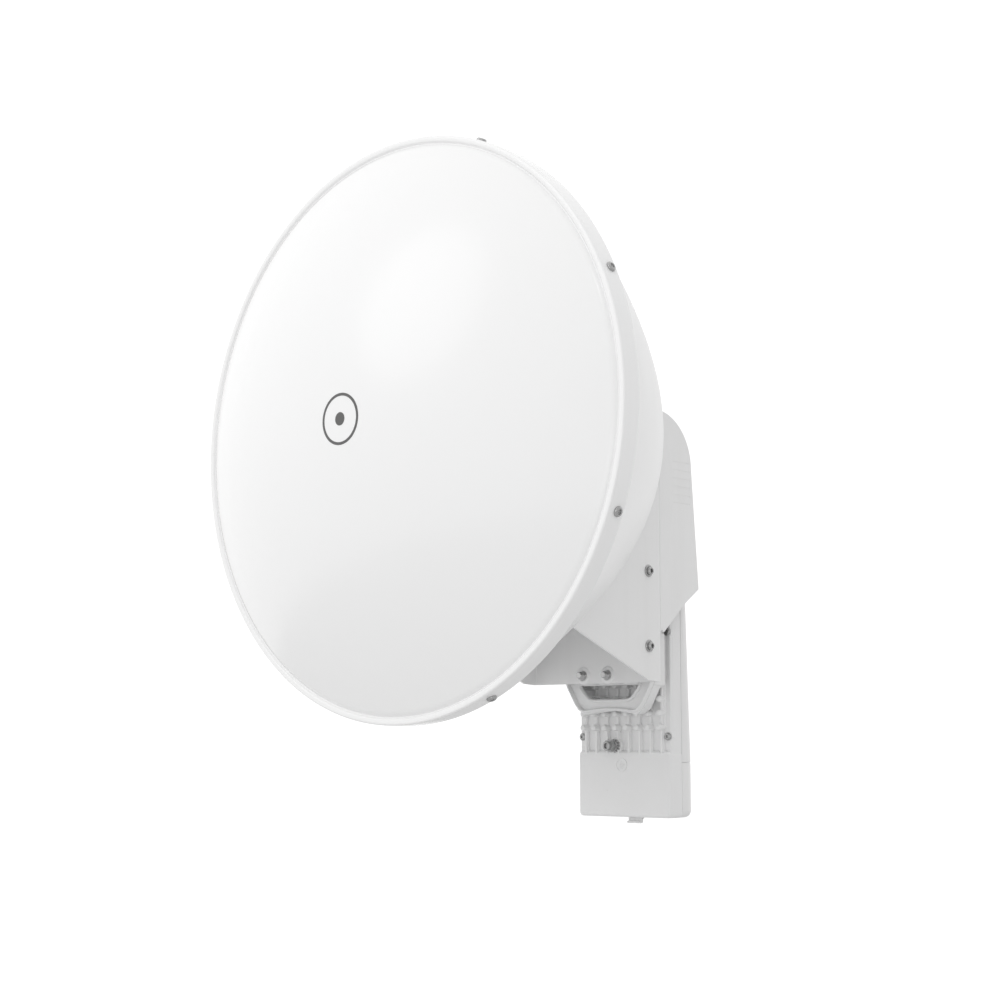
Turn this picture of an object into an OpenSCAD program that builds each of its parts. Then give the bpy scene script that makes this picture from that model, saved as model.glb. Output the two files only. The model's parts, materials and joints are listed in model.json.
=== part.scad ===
// Outdoor wireless bridge: a domed dish antenna on a sheet-metal channel, a radio
// unit on its back, and a clamp bracket that holds it to a pole.
// +Z is up, -Y is the way the dish looks. The origin is on the pole's axis, midway
// between the two clamps.

/* [Dish] */
// Outside diameter over the radome's skirt
dish_d = 378; // [315:1:460]
// Depth of the reflector's bowl, from the rim to where the curve would close
bowl_depth = 188; // [150:1:230]
// Depth of the straight band round the rim
rim_depth = 12; // [11:0.5:18]
// Thickness of the reflector's sheet
shell_t = 1.6; // [1:0.1:2.5]
// Diameter of the reflector's flat hub
hub_d = 82; // [78:1:96]
// Rise of the radome's dome above its lip
dome_rise = 48; // [30:1:60]
// Thickness of the radome
dome_t = 2.5; // [2:0.1:3]
// Number of screws round the rim
rim_screws = 8; // [6:1:12]
// Angle of the first rim screw above the +X side
rim_screw_start = 24; // [0:1:44]

/* [Feed] */
// Outside diameter of the feed's round waveguide
feed_d = 31; // [26:0.5:32]
// Length of waveguide in front of the hub
feed_reach = 72; // [55:1:90]
// Diameter of the small reflector at the feed's tip
tip_d = 56; // [44:1:64]

/* [Channel] */
// Width of the channel that carries the dish, over its side panels
channel_w = 116; // [108:1:140]
// Thickness of the channel's sheet
channel_t = 2; // [1.5:0.1:3]
// Height of the channel's web above the dish's axis
channel_rise = 48; // [42:1:60]
// Drop of the channel's web below the dish's axis
channel_drop = 158; // [150:1:175]
// Gap between the bowl and the side panels' front edges
bowl_gap = 5; // [4:0.5:9]
// Distance that the rear wings run back from the web
wing_reach = 45; // [38:1:50]
// Thickness of the wings' sheet
wing_t = 1.5; // [1:0.1:2]

/* [Radio] */
// Width of the radio unit
radio_w = 82; // [76:1:92]
// Height of the radio unit
radio_h = 224; // [215:1:240]
// Height of the radio's bottom below the dish's axis
radio_drop = 250; // [245:1:262]
// Depth of the radio's rear cover
cover_depth = 20; // [19:0.5:26]
// Wall of the radio's castings and covers
wall = 2.5; // [2:0.1:3]
// Diameter of the heat sink's pins
fin_d = 2.7; // [2:0.1:3.4]
// Length of the heat sink's pins
fin_length = 7.5; // [4:0.5:8.5]
// Spacing of the heat sink's pins
fin_pitch = 9.9; // [9:0.1:11]
// Height of the port cover at the radio's bottom
port_cover_h = 37; // [32:0.5:42]

/* [Pole bracket] */
// Diameter of the pole
pole_d = 50.8; // [40:0.2:62]
// Thickness of the bracket's plate
bracket_t = 4; // [3:0.5:5]
// Spacing of the two clamps along the pole
clamp_spacing = 50; // [46:1:62]
// Height of each clamp block
clamp_h = 24; // [20:1:28]
// Travel of each clamp jaw on its bolts
jaw_travel = 18; // [10:1:25]
// Diameter of the clamp bolts and the pivot bolt
bolt_d = 8; // [6:0.5:8]
// Tilt either way from level, in degrees
tilt = 15; // [5:1:15]

/* [Hidden] */
$fn = 96;

// Clearances: a bolt in its hole, a running pivot, two faces that slide, a clamp on its pole
bolt_gap = 0.15;
pivot_gap = 0.05;
slide_gap = 0.3;
clamp_gap = 0.1;
// A slot's round ends are a hair smaller than its width
slot_step = 0.05;

// Rim: radome skirt outside, reflector flange inside it, a gasket in front of the flange
skirt_t = 2;
flange_t = 2.9;
gasket_t = 2;
shoulder_y = 2;
skirt_inner_r = dish_d / 2 - skirt_t;
flange_r = skirt_inner_r - clamp_gap;
flange_inner_r = flange_r - flange_t;
bowl_r = flange_r - 1.4;
dome_r = flange_inner_r - 1;
lip_y = -2;
rim_screw_y = 6;
rim_screw_r = 1.4;

// Stack of plates along Y, from the bowl's hub back to the radio
hub_r = hub_d / 2;
hub_plate_t = 3;
hub_y = bowl_y(hub_r);
web_y = hub_y + hub_plate_t;
web_back_y = web_y + channel_t;
wing_back_y = web_back_y + wing_t;
mount_y = wing_back_y + 12.5;
mount_t = 3.5;
mount_rim = 4.5;
fin_tip_y = mount_y + mount_t + mount_rim + 1.5;
sink_y = fin_tip_y + fin_length;
block_y = sink_y - 4;
seam_y = sink_y + 10;
cover_back_y = seam_y + cover_depth;
cover_taper = 5;
cover_corner = 13;

// Feed
feed_r = feed_d / 2;
feed_wall = 2;
feed_front_y = hub_y - feed_reach;
hub_bolt_ring = hub_r - 11;
hub_bolt_r = 2.5;
feed_flange_r = hub_bolt_ring - 6;
feed_block_w = 28;
feed_block_h = 32;
jack_r = 3.1;
jack_length = 8;
jack_y = seam_y + 6;
plug_r = 4.8;
plug_length = 8;
cable_r = 1.8;
cable_bend = 8;
jumper_x = feed_block_w / 2 + jack_length + 4 + cable_bend;

// Channel sides: two fixing points, the upper one is the tilt pivot
bend_r = 3;
pivot_y = web_y - 12;
pivot_z = -83;
lock_z = pivot_z - 51.2;
lock_arc = pivot_z - lock_z;
side_bolt_r = 3;
wing_w = channel_w - 2 * channel_t;
wing_top = 31;
wing_drop = 124;
wing_round = 38;
mark_depth = 0.15;
mark_pitch = 5.8;

// Radio
radio_top = radio_h - radio_drop;
port_z = port_cover_h - radio_drop;
port_floor_z = port_z - 4;
block_h = 45;
rib_h = 13;
board_y = seam_y + 0.8;
board_t = 1.6;
lug_x = radio_w / 2 - 2.6;
lug_r = 3.4;
lug_y = sink_y - 1.5;
lug_z = [-195, -122, -49];
sink_screw_r = 1.5;
fin_columns = floor((radio_w - 11) / fin_pitch / 2) * 2 + 2;
fin_bottom = -188.6;
fin_rows = floor((radio_top - 14 - fin_bottom) / fin_pitch) + 1;
post_x = 3 * fin_pitch;
post_r = 3;
mount_bolt_x = 11.2;
mount_bolt_z = [-153, -60];
mount_bolt_r = 2.5;
mount_w = radio_w - 1;
mount_top = radio_top - 18;
mount_side_z = -158;
mount_knee_z = -175.5;
mount_foot_z = -179.3;
mount_foot_rise = 2.3;
mount_arch_r = 100;
mount_boss_r = 5.5;
ground_x = -7.5;
ground_z = -radio_drop + 48.5;
port_jack_w = 16;
port_jack_d = 14;
button_x = 15;
button_r = 1.6;
button_y = seam_y + 7;
latch_w = 14;

// Bracket
pole_r = pole_d / 2;
seat_r = pole_r + clamp_gap;
bolt_r = bolt_d / 2;
nut_r = bolt_d * 0.92;
nut_t = bolt_d * 0.8;
washer_t = 1.6;
pivot_washer_t = 2;
cheek_x = -channel_w / 2 - pivot_washer_t;
cheek_bottom = lock_z - 12;
plate_top = pivot_z + 10;
swing_gap = 4.5;
plate_y = bowl_y(norm([cheek_x, plate_top])) + swing_gap;
saddle_t = 8.6;
seat_half = 8;
pole_y = plate_y + bracket_t + saddle_t + pole_r;
pole_x = cheek_x - bracket_t - pole_r - 28.6;
clamp_z = -110;
clamp_bolt_x = pole_r + bolt_r + 5.6;
jaw_back = pole_r + 8;
saddle_half_w = clamp_bolt_x + bolt_r + 5;
plate_end_x = pole_x - saddle_half_w - 5;
plate_bottom = clamp_z - clamp_spacing / 2 - clamp_h / 2 - 1;
dish_place = [-pole_x, -pole_y, -clamp_z];

// Height along Y of the bowl's outer face at a radius from the dish's axis
function bowl_y(r) = rim_depth + bowl_depth * (1 - pow(r / bowl_r, 2));
// The bowl's inner face, one sheet's thickness inside the outer face
function bowl_inner_y(r) = bowl_y(r) - shell_t * sqrt(1 + pow(2 * bowl_depth * r / pow(bowl_r, 2), 2));
// The dome's face: part of a ball that meets the lip at dome_r
dome_ball = (dome_r * dome_r + dome_rise * dome_rise) / (2 * dome_rise);
function dome_y(r) = lip_y + (dome_ball - dome_rise) - sqrt(dome_ball * dome_ball - r * r);
// Radii from a to b in n equal steps
function steps(a, b, n) = [for (i = [0 : n]) a + (b - a) * i / n];

module at_dish() { translate(dish_place) children(); }
module along_x() { rotate([0, 90, 0]) children(); }
module along_y() { rotate([-90, 0, 0]) children(); }

// A flat outline drawn as (X, Z), filled from y0 to y1
module plate_in_y(y0, y1) {
    translate([0, y1, 0]) rotate([90, 0, 0]) linear_extrude(height = y1 - y0) children();
}

// A flat outline drawn as (Y, Z), filled from x0 to x1
module plate_in_x(x0, x1) {
    translate([x0, 0, 0]) rotate([90, 0, 90]) linear_extrude(height = x1 - x0) children();
}

// A cylinder along Y between two places
module rod_y(x, z, y0, y1, r) {
    translate([x, y0, z]) along_y() cylinder(r = r, h = y1 - y0);
}

// A cylinder along X between two places
module rod_x(y, z, x0, x1, r) {
    translate([x0, y, z]) along_x() cylinder(r = r, h = x1 - x0);
}

// A box given by its low and high corners
module block(low, high) { translate(low) cube(high - low); }

module box_x(w, y0, y1, z0, z1) { block([-w / 2, y0, z0], [w / 2, y1, z1]); }

// A six-sided head or nut along Y or X
module hex_y(x, z, y0, y1, r) {
    translate([x, y0, z]) along_y() cylinder(r = r, h = y1 - y0, $fn = 6);
}

module hex_x(y, z, x0, x1, r) {
    translate([x0, y, z]) along_x() cylinder(r = r, h = x1 - x0, $fn = 6);
}

module both_sides() {
    children();
    mirror([1, 0, 0]) children();
}

// ---- Dish ----

module radome() {
    color("whitesmoke") at_dish() difference() {
        along_y() rotate_extrude() polygon(concat(
            [for (r = steps(0, dome_r, 24)) [r, dome_y(r)]],
            [[dome_r + 0.3, lip_y + 1.6], [dome_r + 1.3, lip_y + 1.6], [dome_r + 1.6, lip_y - 0.2],
             [dome_r + 3, lip_y - 0.5], [skirt_inner_r + 0.8, lip_y - 0.2],
             [dish_d / 2, lip_y + 1.4], [dish_d / 2, rim_depth],
             [skirt_inner_r, rim_depth], [skirt_inner_r, shoulder_y], [dome_r - 1, shoulder_y]],
            [for (r = steps(dome_r - 2, 0, 24)) [r, dome_y(r) + dome_t]]
        ));
        rim_screw_places() cylinder(r = rim_screw_r + bolt_gap, h = 6, center = true);
    }
}

module rim_screw_places() {
    for (i = [0 : rim_screws - 1])
        translate([0, rim_screw_y, 0]) rotate([0, -rim_screw_start - i * 360 / rim_screws, 0])
            translate([dish_d / 2, 0, 0]) along_x() children();
}

module radome_gasket() {
    color("dimgray") at_dish() translate([0, shoulder_y, 0]) along_y() difference() {
        cylinder(r = flange_r - 0.3, h = gasket_t);
        translate([0, 0, -1]) cylinder(r = flange_inner_r + 0.3, h = gasket_t + 2);
    }
}

module radome_screws() {
    color("silver") at_dish() rim_screw_places() difference() {
        union() {
            cylinder(r = 3.3, h = 1.9);
            translate([0, 0, -skirt_t - flange_t - 1.5]) cylinder(r = rim_screw_r, h = 6.5);
        }
        translate([0, 0, 0.9]) cylinder(r = 1.5, h = 2, $fn = 6);
    }
}

module reflector() {
    color("gainsboro") at_dish() difference() {
        along_y() rotate_extrude() polygon(concat(
            [[flange_inner_r, shoulder_y + gasket_t], [flange_r, shoulder_y + gasket_t],
             [flange_r, rim_depth]],
            [for (r = steps(bowl_r, hub_r, 40)) [r, bowl_y(r)]],
            [[feed_r + 1, hub_y], [feed_r + 1, hub_y - shell_t]],
            [for (r = steps(hub_r - 1, flange_inner_r - 0.2, 40)) [r, min(bowl_inner_y(r), hub_y - shell_t)]]
        ));
        hub_bolt_places() cylinder(r = hub_bolt_r + bolt_gap, h = 30, center = true);
        rim_screw_places() cylinder(r = rim_screw_r + pivot_gap, h = 14, center = true);
    }
}

module hub_bolt_places() {
    for (i = [0 : 3])
        rotate([0, 45 + 90 * i, 0]) translate([hub_bolt_ring, hub_y, 0]) along_y() children();
}

module hub_plate() {
    color("gray") at_dish() difference() {
        rod_y(0, 0, hub_y, web_y, hub_r - 1);
        rod_y(0, 0, hub_y - 1, web_y + 1, feed_r + 1);
        hub_bolt_places() cylinder(r = hub_bolt_r + bolt_gap, h = 30, center = true);
    }
}

module hub_bolts() {
    color("silver") at_dish() hub_bolt_places() difference() {
        translate([0, 0, -shell_t - 3]) union() {
            cylinder(r = 4.6, h = 3);
            cylinder(r = hub_bolt_r, h = 18);
        }
        translate([0, 0, -shell_t - 4]) cylinder(r = 1.7, h = 3, $fn = 6);
    }
}

module hub_nuts() {
    color("silver") at_dish() hub_bolt_places() translate([0, 0, wing_back_y - hub_y]) difference() {
        cylinder(r = 4.6, h = 4, $fn = 6);
        translate([0, 0, -1]) cylinder(r = hub_bolt_r + pivot_gap, h = 6);
    }
}

// ---- Feed ----

module feed_tube() {
    color("silver") at_dish() difference() {
        rod_y(0, 0, feed_front_y, wing_back_y, feed_r);
        rod_y(0, 0, feed_front_y - 1, wing_back_y + 1, feed_r - feed_wall);
    }
}

module feed_support() {
    color("ivory") at_dish() translate([0, feed_front_y, 0]) along_y() rotate_extrude() polygon([
        [0, -20], [tip_d / 2 - 3, -20], [tip_d / 2 - 4, -16], [feed_r + 1.5, -2],
        [feed_r + 1.5, 0], [feed_r - feed_wall - pivot_gap, 0],
        [feed_r - feed_wall - pivot_gap, 12], [feed_r - feed_wall - 3, 14], [0, 14]
    ]);
}

module subreflector() {
    color("silver") at_dish() rod_y(0, 0, feed_front_y - 23, feed_front_y - 20, tip_d / 2);
}

module feed_hub() {
    color("silver") at_dish() difference() {
        union() {
            rod_y(0, 0, wing_back_y, wing_back_y + 3, feed_flange_r);
            box_x(feed_block_w, wing_back_y + 2, jack_y + 6, -feed_block_h / 2, feed_block_h / 2);
        }
        rod_y(0, 0, wing_back_y - 1, jack_y + 2, feed_r - feed_wall - 3);
    }
}

module feed_jacks() {
    color("gold") at_dish() both_sides() difference() {
        union() {
            rod_x(jack_y, 0, feed_block_w / 2, feed_block_w / 2 + jack_length, jack_r);
            hex_x(jack_y, 0, feed_block_w / 2, feed_block_w / 2 + 2, 4.6);
        }
        rod_x(jack_y, 0, feed_block_w / 2 + 3, feed_block_w / 2 + jack_length + 1, 2.2);
    }
}

// Jumper from the feed's side jack down to the radio's top jack
module jumper() {
    x0 = feed_block_w / 2 + jack_length;
    rod_x(jack_y, 0, x0, x0 + 4, cable_r);
    translate([x0 + 4, jack_y, -cable_bend]) rotate([90, 0, 0])
        rotate_extrude(angle = 90) translate([cable_bend, 0]) circle(r = cable_r);
    translate([jumper_x, jack_y, radio_top + jack_length])
        cylinder(r = cable_r, h = -cable_bend - radio_top - jack_length);
}

module right_jumper() { color("darkgray") at_dish() jumper(); }

module left_jumper() { color("darkgray") at_dish() mirror([1, 0, 0]) jumper(); }

module jumper_nut() {
    difference() {
        cylinder(r = plug_r, h = plug_length, $fn = 6);
        translate([0, 0, -1]) cylinder(r = jack_r + pivot_gap, h = 6);
        cylinder(r = cable_r + bolt_gap, h = plug_length + 1);
    }
}

module jumper_nuts() {
    color("gold") at_dish() both_sides() {
        translate([feed_block_w / 2 + 3, jack_y, 0]) along_x() jumper_nut();
        translate([jumper_x, jack_y, radio_top + 3]) jumper_nut();
    }
}

// ---- Channel and wings ----

// A sheet bent into a U, open towards +Y, as a flat outline drawn as (X, Y)
module bent_sheet(w, t, y0, length) {
    difference() {
        union() {
            translate([-w / 2, bend_r]) square([w, length - bend_r]);
            translate([bend_r - w / 2, 0]) square([w - 2 * bend_r, length]);
            for (s = [-1, 1]) translate([s * (w / 2 - bend_r), bend_r]) circle(r = bend_r);
        }
        translate([t - w / 2, bend_r]) square([w - 2 * t, length]);
        translate([bend_r - w / 2, t]) square([w - 2 * bend_r, length]);
        for (s = [-1, 1]) translate([s * (w / 2 - bend_r), bend_r]) circle(r = bend_r - t);
    }
}

// Side view of the channel, drawn as (Y, Z): the lower edge slopes up towards the rim
module channel_side() {
    slope = (channel_drop - 125) / 79;
    front = web_y - 104;
    corner = web_y - 12;
    polygon([
        [front, slope * (corner - front) - channel_drop + 0.7], [corner, 0.7 - channel_drop],
        [web_back_y - 3, -channel_drop], [web_back_y, -channel_drop],
        [web_back_y, channel_rise - 10], [web_back_y, channel_rise], [front, channel_rise]
    ]);
}

module hub_channel() {
    color("whitesmoke") at_dish() difference() {
        intersection() {
            translate([0, web_back_y, -channel_drop]) mirror([0, 1, 0])
                linear_extrude(height = channel_drop + channel_rise)
                bent_sheet(channel_w, channel_t, 0, 110);
            plate_in_x(-channel_w, channel_w) channel_side();
        }
        bowl_clearance();
        rod_y(0, 0, web_y - 1, web_back_y + 1, feed_r + 1);
        hub_bolt_places() cylinder(r = hub_bolt_r + bolt_gap, h = 30, center = true);
        mount_bolt_places() rod_y(0, 0, web_y - 1, web_back_y + 1, mount_bolt_r + bolt_gap);
        rod_x(pivot_y, pivot_z, -channel_w, 0, bolt_r + pivot_gap);
        rod_x(pivot_y, lock_z, -channel_w, 0, side_bolt_r + bolt_gap);
        for (z = [pivot_z, lock_z]) rod_x(pivot_y, z, 0, channel_w, side_bolt_r + bolt_gap);
    }
}

// The space that the bowl takes, with a gap round it
module bowl_clearance() {
    along_y() rotate_extrude() polygon(concat(
        [[0, 0], [bowl_r + 9, 0], [bowl_r + 9, rim_depth + bowl_gap]],
        [for (r = steps(bowl_r, hub_r, 24)) [r + bowl_gap, bowl_y(r)]],
        [[hub_r + bowl_gap, web_y - 0.5], [0, web_y - 0.5]]
    ));
}

module mount_bolt_places() {
    for (x = [-mount_bolt_x, mount_bolt_x], z = mount_bolt_z) translate([x, 0, z]) children();
}

// Points along an arc from angle a to angle b
function arc(centre, r, a, b, n) = [for (t = steps(a, b, n)) centre + r * [cos(t), sin(t)]];

// Side view of a wing, drawn as (Y, Z): round top corner, notched lower corner
module wing_side() {
    rear = web_back_y + wing_reach;
    difference() {
        polygon(concat(
            arc([web_back_y, wing_top - wing_round], wing_round, 90, 0, 18),
            [[rear, -92], [rear - 16, -103], [web_back_y + 5, -wing_drop], [web_back_y, -wing_drop]]
        ));
        translate([web_back_y + 3, -wing_drop]) circle(r = 1.6);
    }
}

module rear_wings() {
    color("whitesmoke") at_dish() difference() {
        intersection() {
            translate([0, web_back_y, -wing_drop])
                linear_extrude(height = wing_drop + wing_top)
                bent_sheet(wing_w, wing_t, 0, wing_reach);
            plate_in_x(-channel_w, channel_w) wing_side();
        }
        rod_y(0, 0, web_back_y - 1, wing_back_y + 1, feed_r + 1);
        hub_bolt_places() cylinder(r = hub_bolt_r + bolt_gap, h = 40, center = true);
        mount_bolt_places() rod_y(0, 0, web_back_y - 1, wing_back_y + 1, mount_bolt_r + bolt_gap);
        wing_marks();
    }
}

// Six shallow marks pressed into each wing near its rear edge
module wing_marks() {
    both_sides() for (i = [0 : 5])
        block([wing_w / 2 - mark_depth, web_back_y + 17, -4 - i * mark_pitch],
            [wing_w / 2 + 1, web_back_y + 36, -3.4 - i * mark_pitch]);
}

module button_head(r, h, socket) {
    difference() {
        union() {
            cylinder(r = r, h = h * 0.6);
            translate([0, 0, h * 0.6]) cylinder(r1 = r, r2 = r * 0.7, h = h * 0.4);
        }
        translate([0, 0, h * 0.4]) cylinder(r = socket, h = h, $fn = 6);
    }
}

module side_bolts() {
    color("silver") at_dish() for (z = [pivot_z, lock_z]) translate([channel_w / 2, pivot_y, z]) along_x() {
        cylinder(r = 6.5, h = 1);
        translate([0, 0, 1]) button_head(4.6, 3.4, 1.7);
        translate([0, 0, -channel_t - 8]) cylinder(r = side_bolt_r, h = channel_t + 8);
        translate([0, 0, -channel_t - 5]) difference() {
            cylinder(r = 5.4, h = 5, $fn = 6);
            translate([0, 0, -1]) cylinder(r = side_bolt_r - 0.1, h = 7);
        }
    }
}

// ---- Radio mount ----

// The mount plate's outline drawn as (X, Z), drawn in by an inset
module mount_outline(inset) {
    top = mount_top - inset;
    half = mount_w / 2 - inset;
    knee = mount_w * 0.375 - inset;
    foot = mount_w * 0.3 - inset;
    side_z = mount_side_z + inset * 0.3;
    knee_z = mount_knee_z + inset * 0.8;
    foot_z = mount_foot_z + inset;
    difference() {
        polygon([
            [-half, top - 8], [8 - half, top], [half - 8, top], [half, top - 8],
            [half, side_z], [knee, knee_z], [foot, foot_z],
            [-foot, foot_z], [-knee, knee_z], [-half, side_z]
        ]);
        translate([0, mount_foot_z - mount_arch_r + mount_foot_rise]) circle(r = mount_arch_r + inset);
    }
}

module mount_window() {
    polygon([[-29, -159], [29, -159], [20, -167.5], [16, -168.8], [-16, -168.8], [-20, -167.5]]);
    polygon([[-26, -78], [26, -78], [26, -138], [20, -144], [-20, -144], [-26, -138]]);
}

module radio_mount() {
    color("gainsboro") at_dish() difference() {
        union() {
            plate_in_y(mount_y, mount_y + mount_t) difference() {
                mount_outline(0);
                mount_window();
            }
            plate_in_y(mount_y + mount_t - 0.01, mount_y + mount_t + mount_rim) difference() {
                mount_outline(0);
                mount_outline(3);
            }
            mount_bolt_places() mount_boss();
            for (x = [-post_x, post_x], row = [2, fin_rows - 3])
                rod_y(x, fin_bottom + (row + 0.5) * fin_pitch, mount_y, sink_y, post_r);
        }
        mount_bolt_places() rod_y(0, 0, 0, mount_y + mount_t + 1, mount_bolt_r + bolt_gap);
    }
}

// A boss that runs forward from the plate to the sheet in front of it
module mount_boss() {
    rod_y(0, 0, wing_back_y, mount_y + 1, mount_boss_r);
}

module mount_bolts() {
    color("silver") at_dish() mount_bolt_places() {
        translate([0, web_y, 0]) rotate([90, 0, 0]) {
            cylinder(r = 6, h = 1);
            translate([0, 0, 1]) button_head(4.4, 3, 1.6);
        }
        rod_y(0, 0, web_y - 1, mount_y + mount_t + 4, mount_bolt_r);
    }
}

// ---- Radio ----

module heat_sink() {
    color("gainsboro") at_dish() difference() {
        union() {
            box_x(radio_w, sink_y, seam_y, -radio_drop, radio_top);
            box_x(radio_w, block_y, sink_y + 1, -radio_drop, block_h - radio_drop);
            lug_places() rod_y(0, 0, lug_y, sink_y + 1, lug_r);
            rod_y(ground_x, ground_z, block_y, sink_y + 1, 6);
            for (i = [0 : fin_columns - 1])
                short_rib(fin_x(i), 2, block_y + 0.6, sink_y + 1);
            fins();
            side_ribs();
        }
        box_x(radio_w - 2 * wall, sink_y + 4, seam_y + 1, port_z, radio_top - wall);
        box_x(radio_w - 4 * wall, sink_y, seam_y + 1, wall * 1.6 - radio_drop, port_floor_z);
        lug_places() rod_y(0, 0, block_y - 1, seam_y + 1, sink_screw_r + pivot_gap);
        rod_y(ground_x, ground_z, block_y - 1, sink_y + 3, 2.05);
    }
    color("gainsboro") at_dish() for (x = [-30, 30], z = [-40, -200])
        difference() {
            rod_y(x, z, sink_y + 3.9, board_y, 3);
            rod_y(x, z, sink_y + 4.5, board_y + 1, 1);
        }
}

// A short upright rib above the lower block
module short_rib(x, w, y0, y1) {
    z0 = block_h - radio_drop - 1;
    block([x - w / 2, y0, z0], [x + w / 2, y1, z0 + 1 + rib_h]);
}

function fin_x(i) = (i - (fin_columns - 1) / 2) * fin_pitch;
function fin_z(k) = fin_bottom + k * fin_pitch;
// A pin is left out where a screw's lug needs its place
function near_lug(x, z) = min([for (h = lug_z) norm([abs(x) - lug_x, z - h])]) < lug_r + fin_d;

module fins() {
    for (i = [0 : fin_columns - 1], k = [0 : fin_rows - 1])
        if (!near_lug(fin_x(i), fin_z(k))) rod_y(fin_x(i), fin_z(k), fin_tip_y, sink_y + 1, fin_d / 2);
}

// A raised edge down each side of the pin field
module side_ribs() {
    for (s = [-1, 1]) translate([s * (radio_w / 2 - 0.9), 0, 0])
        block([-0.9, lug_y, block_h - radio_drop], [0.9, sink_y + 1, radio_top - 6]);
}

module lug_places() {
    for (x = [-lug_x, lug_x], z = lug_z) translate([x, 0, z]) children();
}

module corner_screws() {
    color("silver") at_dish() lug_places() {
        translate([0, lug_y, 0]) rotate([90, 0, 0]) button_head(2.8, 1.8, 1.2);
        rod_y(0, 0, lug_y, seam_y + 6, sink_screw_r);
    }
}

module ground_screw() {
    color("silver") at_dish() difference() {
        union() {
            rod_y(ground_x, ground_z, block_y - 10.5, sink_y + 2.8, 2);
            hex_y(ground_x, ground_z, block_y - 8, block_y - 4.6, 4.4);
            rod_y(ground_x, ground_z, block_y - 4.6, block_y - 3.6, 4.6);
        }
        rod_y(ground_x, ground_z, block_y - 11, block_y - 10, 1);
    }
}

module ground_washer() {
    color("silver") at_dish() difference() {
        union() {
            rod_y(ground_x, ground_z, block_y - 1.2, block_y, 4.6);
            for (i = [0 : 11]) translate([ground_x, block_y - 1.2, ground_z]) rotate([0, 30 * i, 0])
                block([4, 0, -0.6], [5.4, 1.2, 0.6]);
            rod_y(ground_x, ground_z, block_y - 3.6, block_y - 1.2, 3.9);
        }
        rod_y(ground_x, ground_z, block_y - 4, block_y + 1, 2.1);
    }
}

// The rear shell's outline drawn as (X, Y), drawn in by an inset
module cover_outline(inset) {
    half = radio_w / 2;
    deep = cover_depth - inset;
    translate([0, seam_y]) {
        translate([inset - half, 0]) square([2 * (half - inset), cover_depth - cover_corner]);
        translate([cover_corner - half, 0]) square([2 * (half - cover_corner), deep]);
        for (s = [-1, 1]) translate([s * (half - cover_corner), cover_depth - cover_corner])
            circle(r = cover_corner - inset);
    }
}

// Side view of the rear shell drawn as (Y, Z), thinner towards the top
module cover_side(inset) {
    front = inset > 0 ? seam_y - 1 : seam_y;
    back = cover_back_y - inset;
    top = radio_top - inset;
    polygon([
        [front, port_z + inset], [front, top], [back - cover_taper - 2.5, top],
        [back - cover_taper, top - 2.5], [back, port_z + inset]
    ]);
}

module cover_shape(inset) {
    intersection() {
        translate([0, inset > 0 ? -0.5 : 0, port_z + inset])
            linear_extrude(height = radio_top - port_z - 2 * inset) cover_outline(inset);
        plate_in_x(-radio_w, radio_w) cover_side(inset);
    }
}

// The bosses that the corner screws bite into
module cover_bosses() {
    intersection() {
        lug_places() rod_y(0, 0, seam_y, seam_y + 8, 3.4);
        box_x(radio_w - 1, seam_y, seam_y + 9, port_z, radio_top);
    }
}

module rear_cover() {
    y1 = board_y + board_t + port_jack_d + slide_gap;
    color("white") at_dish() difference() {
        union() {
            difference() {
                cover_shape(0);
                cover_shape(wall);
            }
            cover_bosses();
        }
        box_x(port_jack_w + 2 * slide_gap, board_y + 1.4, y1, port_z - 1, port_z + wall + 1);
        lug_places() rod_y(0, 0, seam_y - 1, seam_y + 6.5, sink_screw_r + pivot_gap);
        translate([button_x, button_y, port_z - 1]) cylinder(r = button_r + 0.1, h = wall + 2);
        for (x = [-jumper_x, jumper_x])
            translate([x, jack_y, radio_top - wall - 1]) cylinder(r = jack_r + bolt_gap, h = wall + 2);
        seal(0.05, seam_y - 1, seam_y + 0.8);
    }
}

// The seal's path: a frame in the shell's rim that loops round each screw
module seal(gap, y0, y1) {
    mid = 1.2;
    half = 0.35 + gap;
    difference() {
        union() {
            difference() {
                box_x(radio_w - 2 * (mid - half), y0, y1, port_z + mid - half, radio_top - mid + half);
                box_x(radio_w - 2 * (mid + half), y0 - 1, y1 + 1, port_z + mid + half, radio_top - mid - half);
            }
            lug_places() rod_y(0, 0, y0, y1, sink_screw_r + 0.8 + gap);
        }
        lug_places() rod_y(0, 0, y0 - 1, y1 + 1, sink_screw_r + 0.2 - gap);
    }
}

module cover_gasket() { color("dimgray") at_dish() seal(0, seam_y, seam_y + 0.7); }

module circuit_board() {
    color("darkgreen") at_dish() difference() {
        box_x(radio_w - 2 * wall - 2, board_y, board_y + board_t, port_z + wall + 0.5, radio_top - wall - 3);
        for (x = [-30, 30], z = [-40, -200]) rod_y(x, z, board_y - 1, board_y + 3, 1.2);
        lug_places() rod_y(0, 0, board_y - 1, board_y + 3, 4.4);
    }
}

module rf_shield() {
    color("silver") at_dish() difference() {
        box_x(54, board_y + board_t, board_y + board_t + 5, -140, -60);
        box_x(53, board_y + board_t - 1, board_y + board_t + 4.5, -139.5, -60.5);
    }
}

module rf_jacks() {
    color("gold") at_dish() for (x = [-jumper_x, jumper_x]) translate([x, jack_y, radio_top]) difference() {
        union() {
            translate([0, 0, -wall - 4]) cylinder(r = jack_r, h = jack_length + wall + 4);
            cylinder(r = 4.6, h = 2, $fn = 6);
            translate([0, 0, -wall - 2]) cylinder(r = 3.9, h = 2);
        }
        translate([0, 0, 3]) cylinder(r = 2.2, h = jack_length);
    }
}

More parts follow.
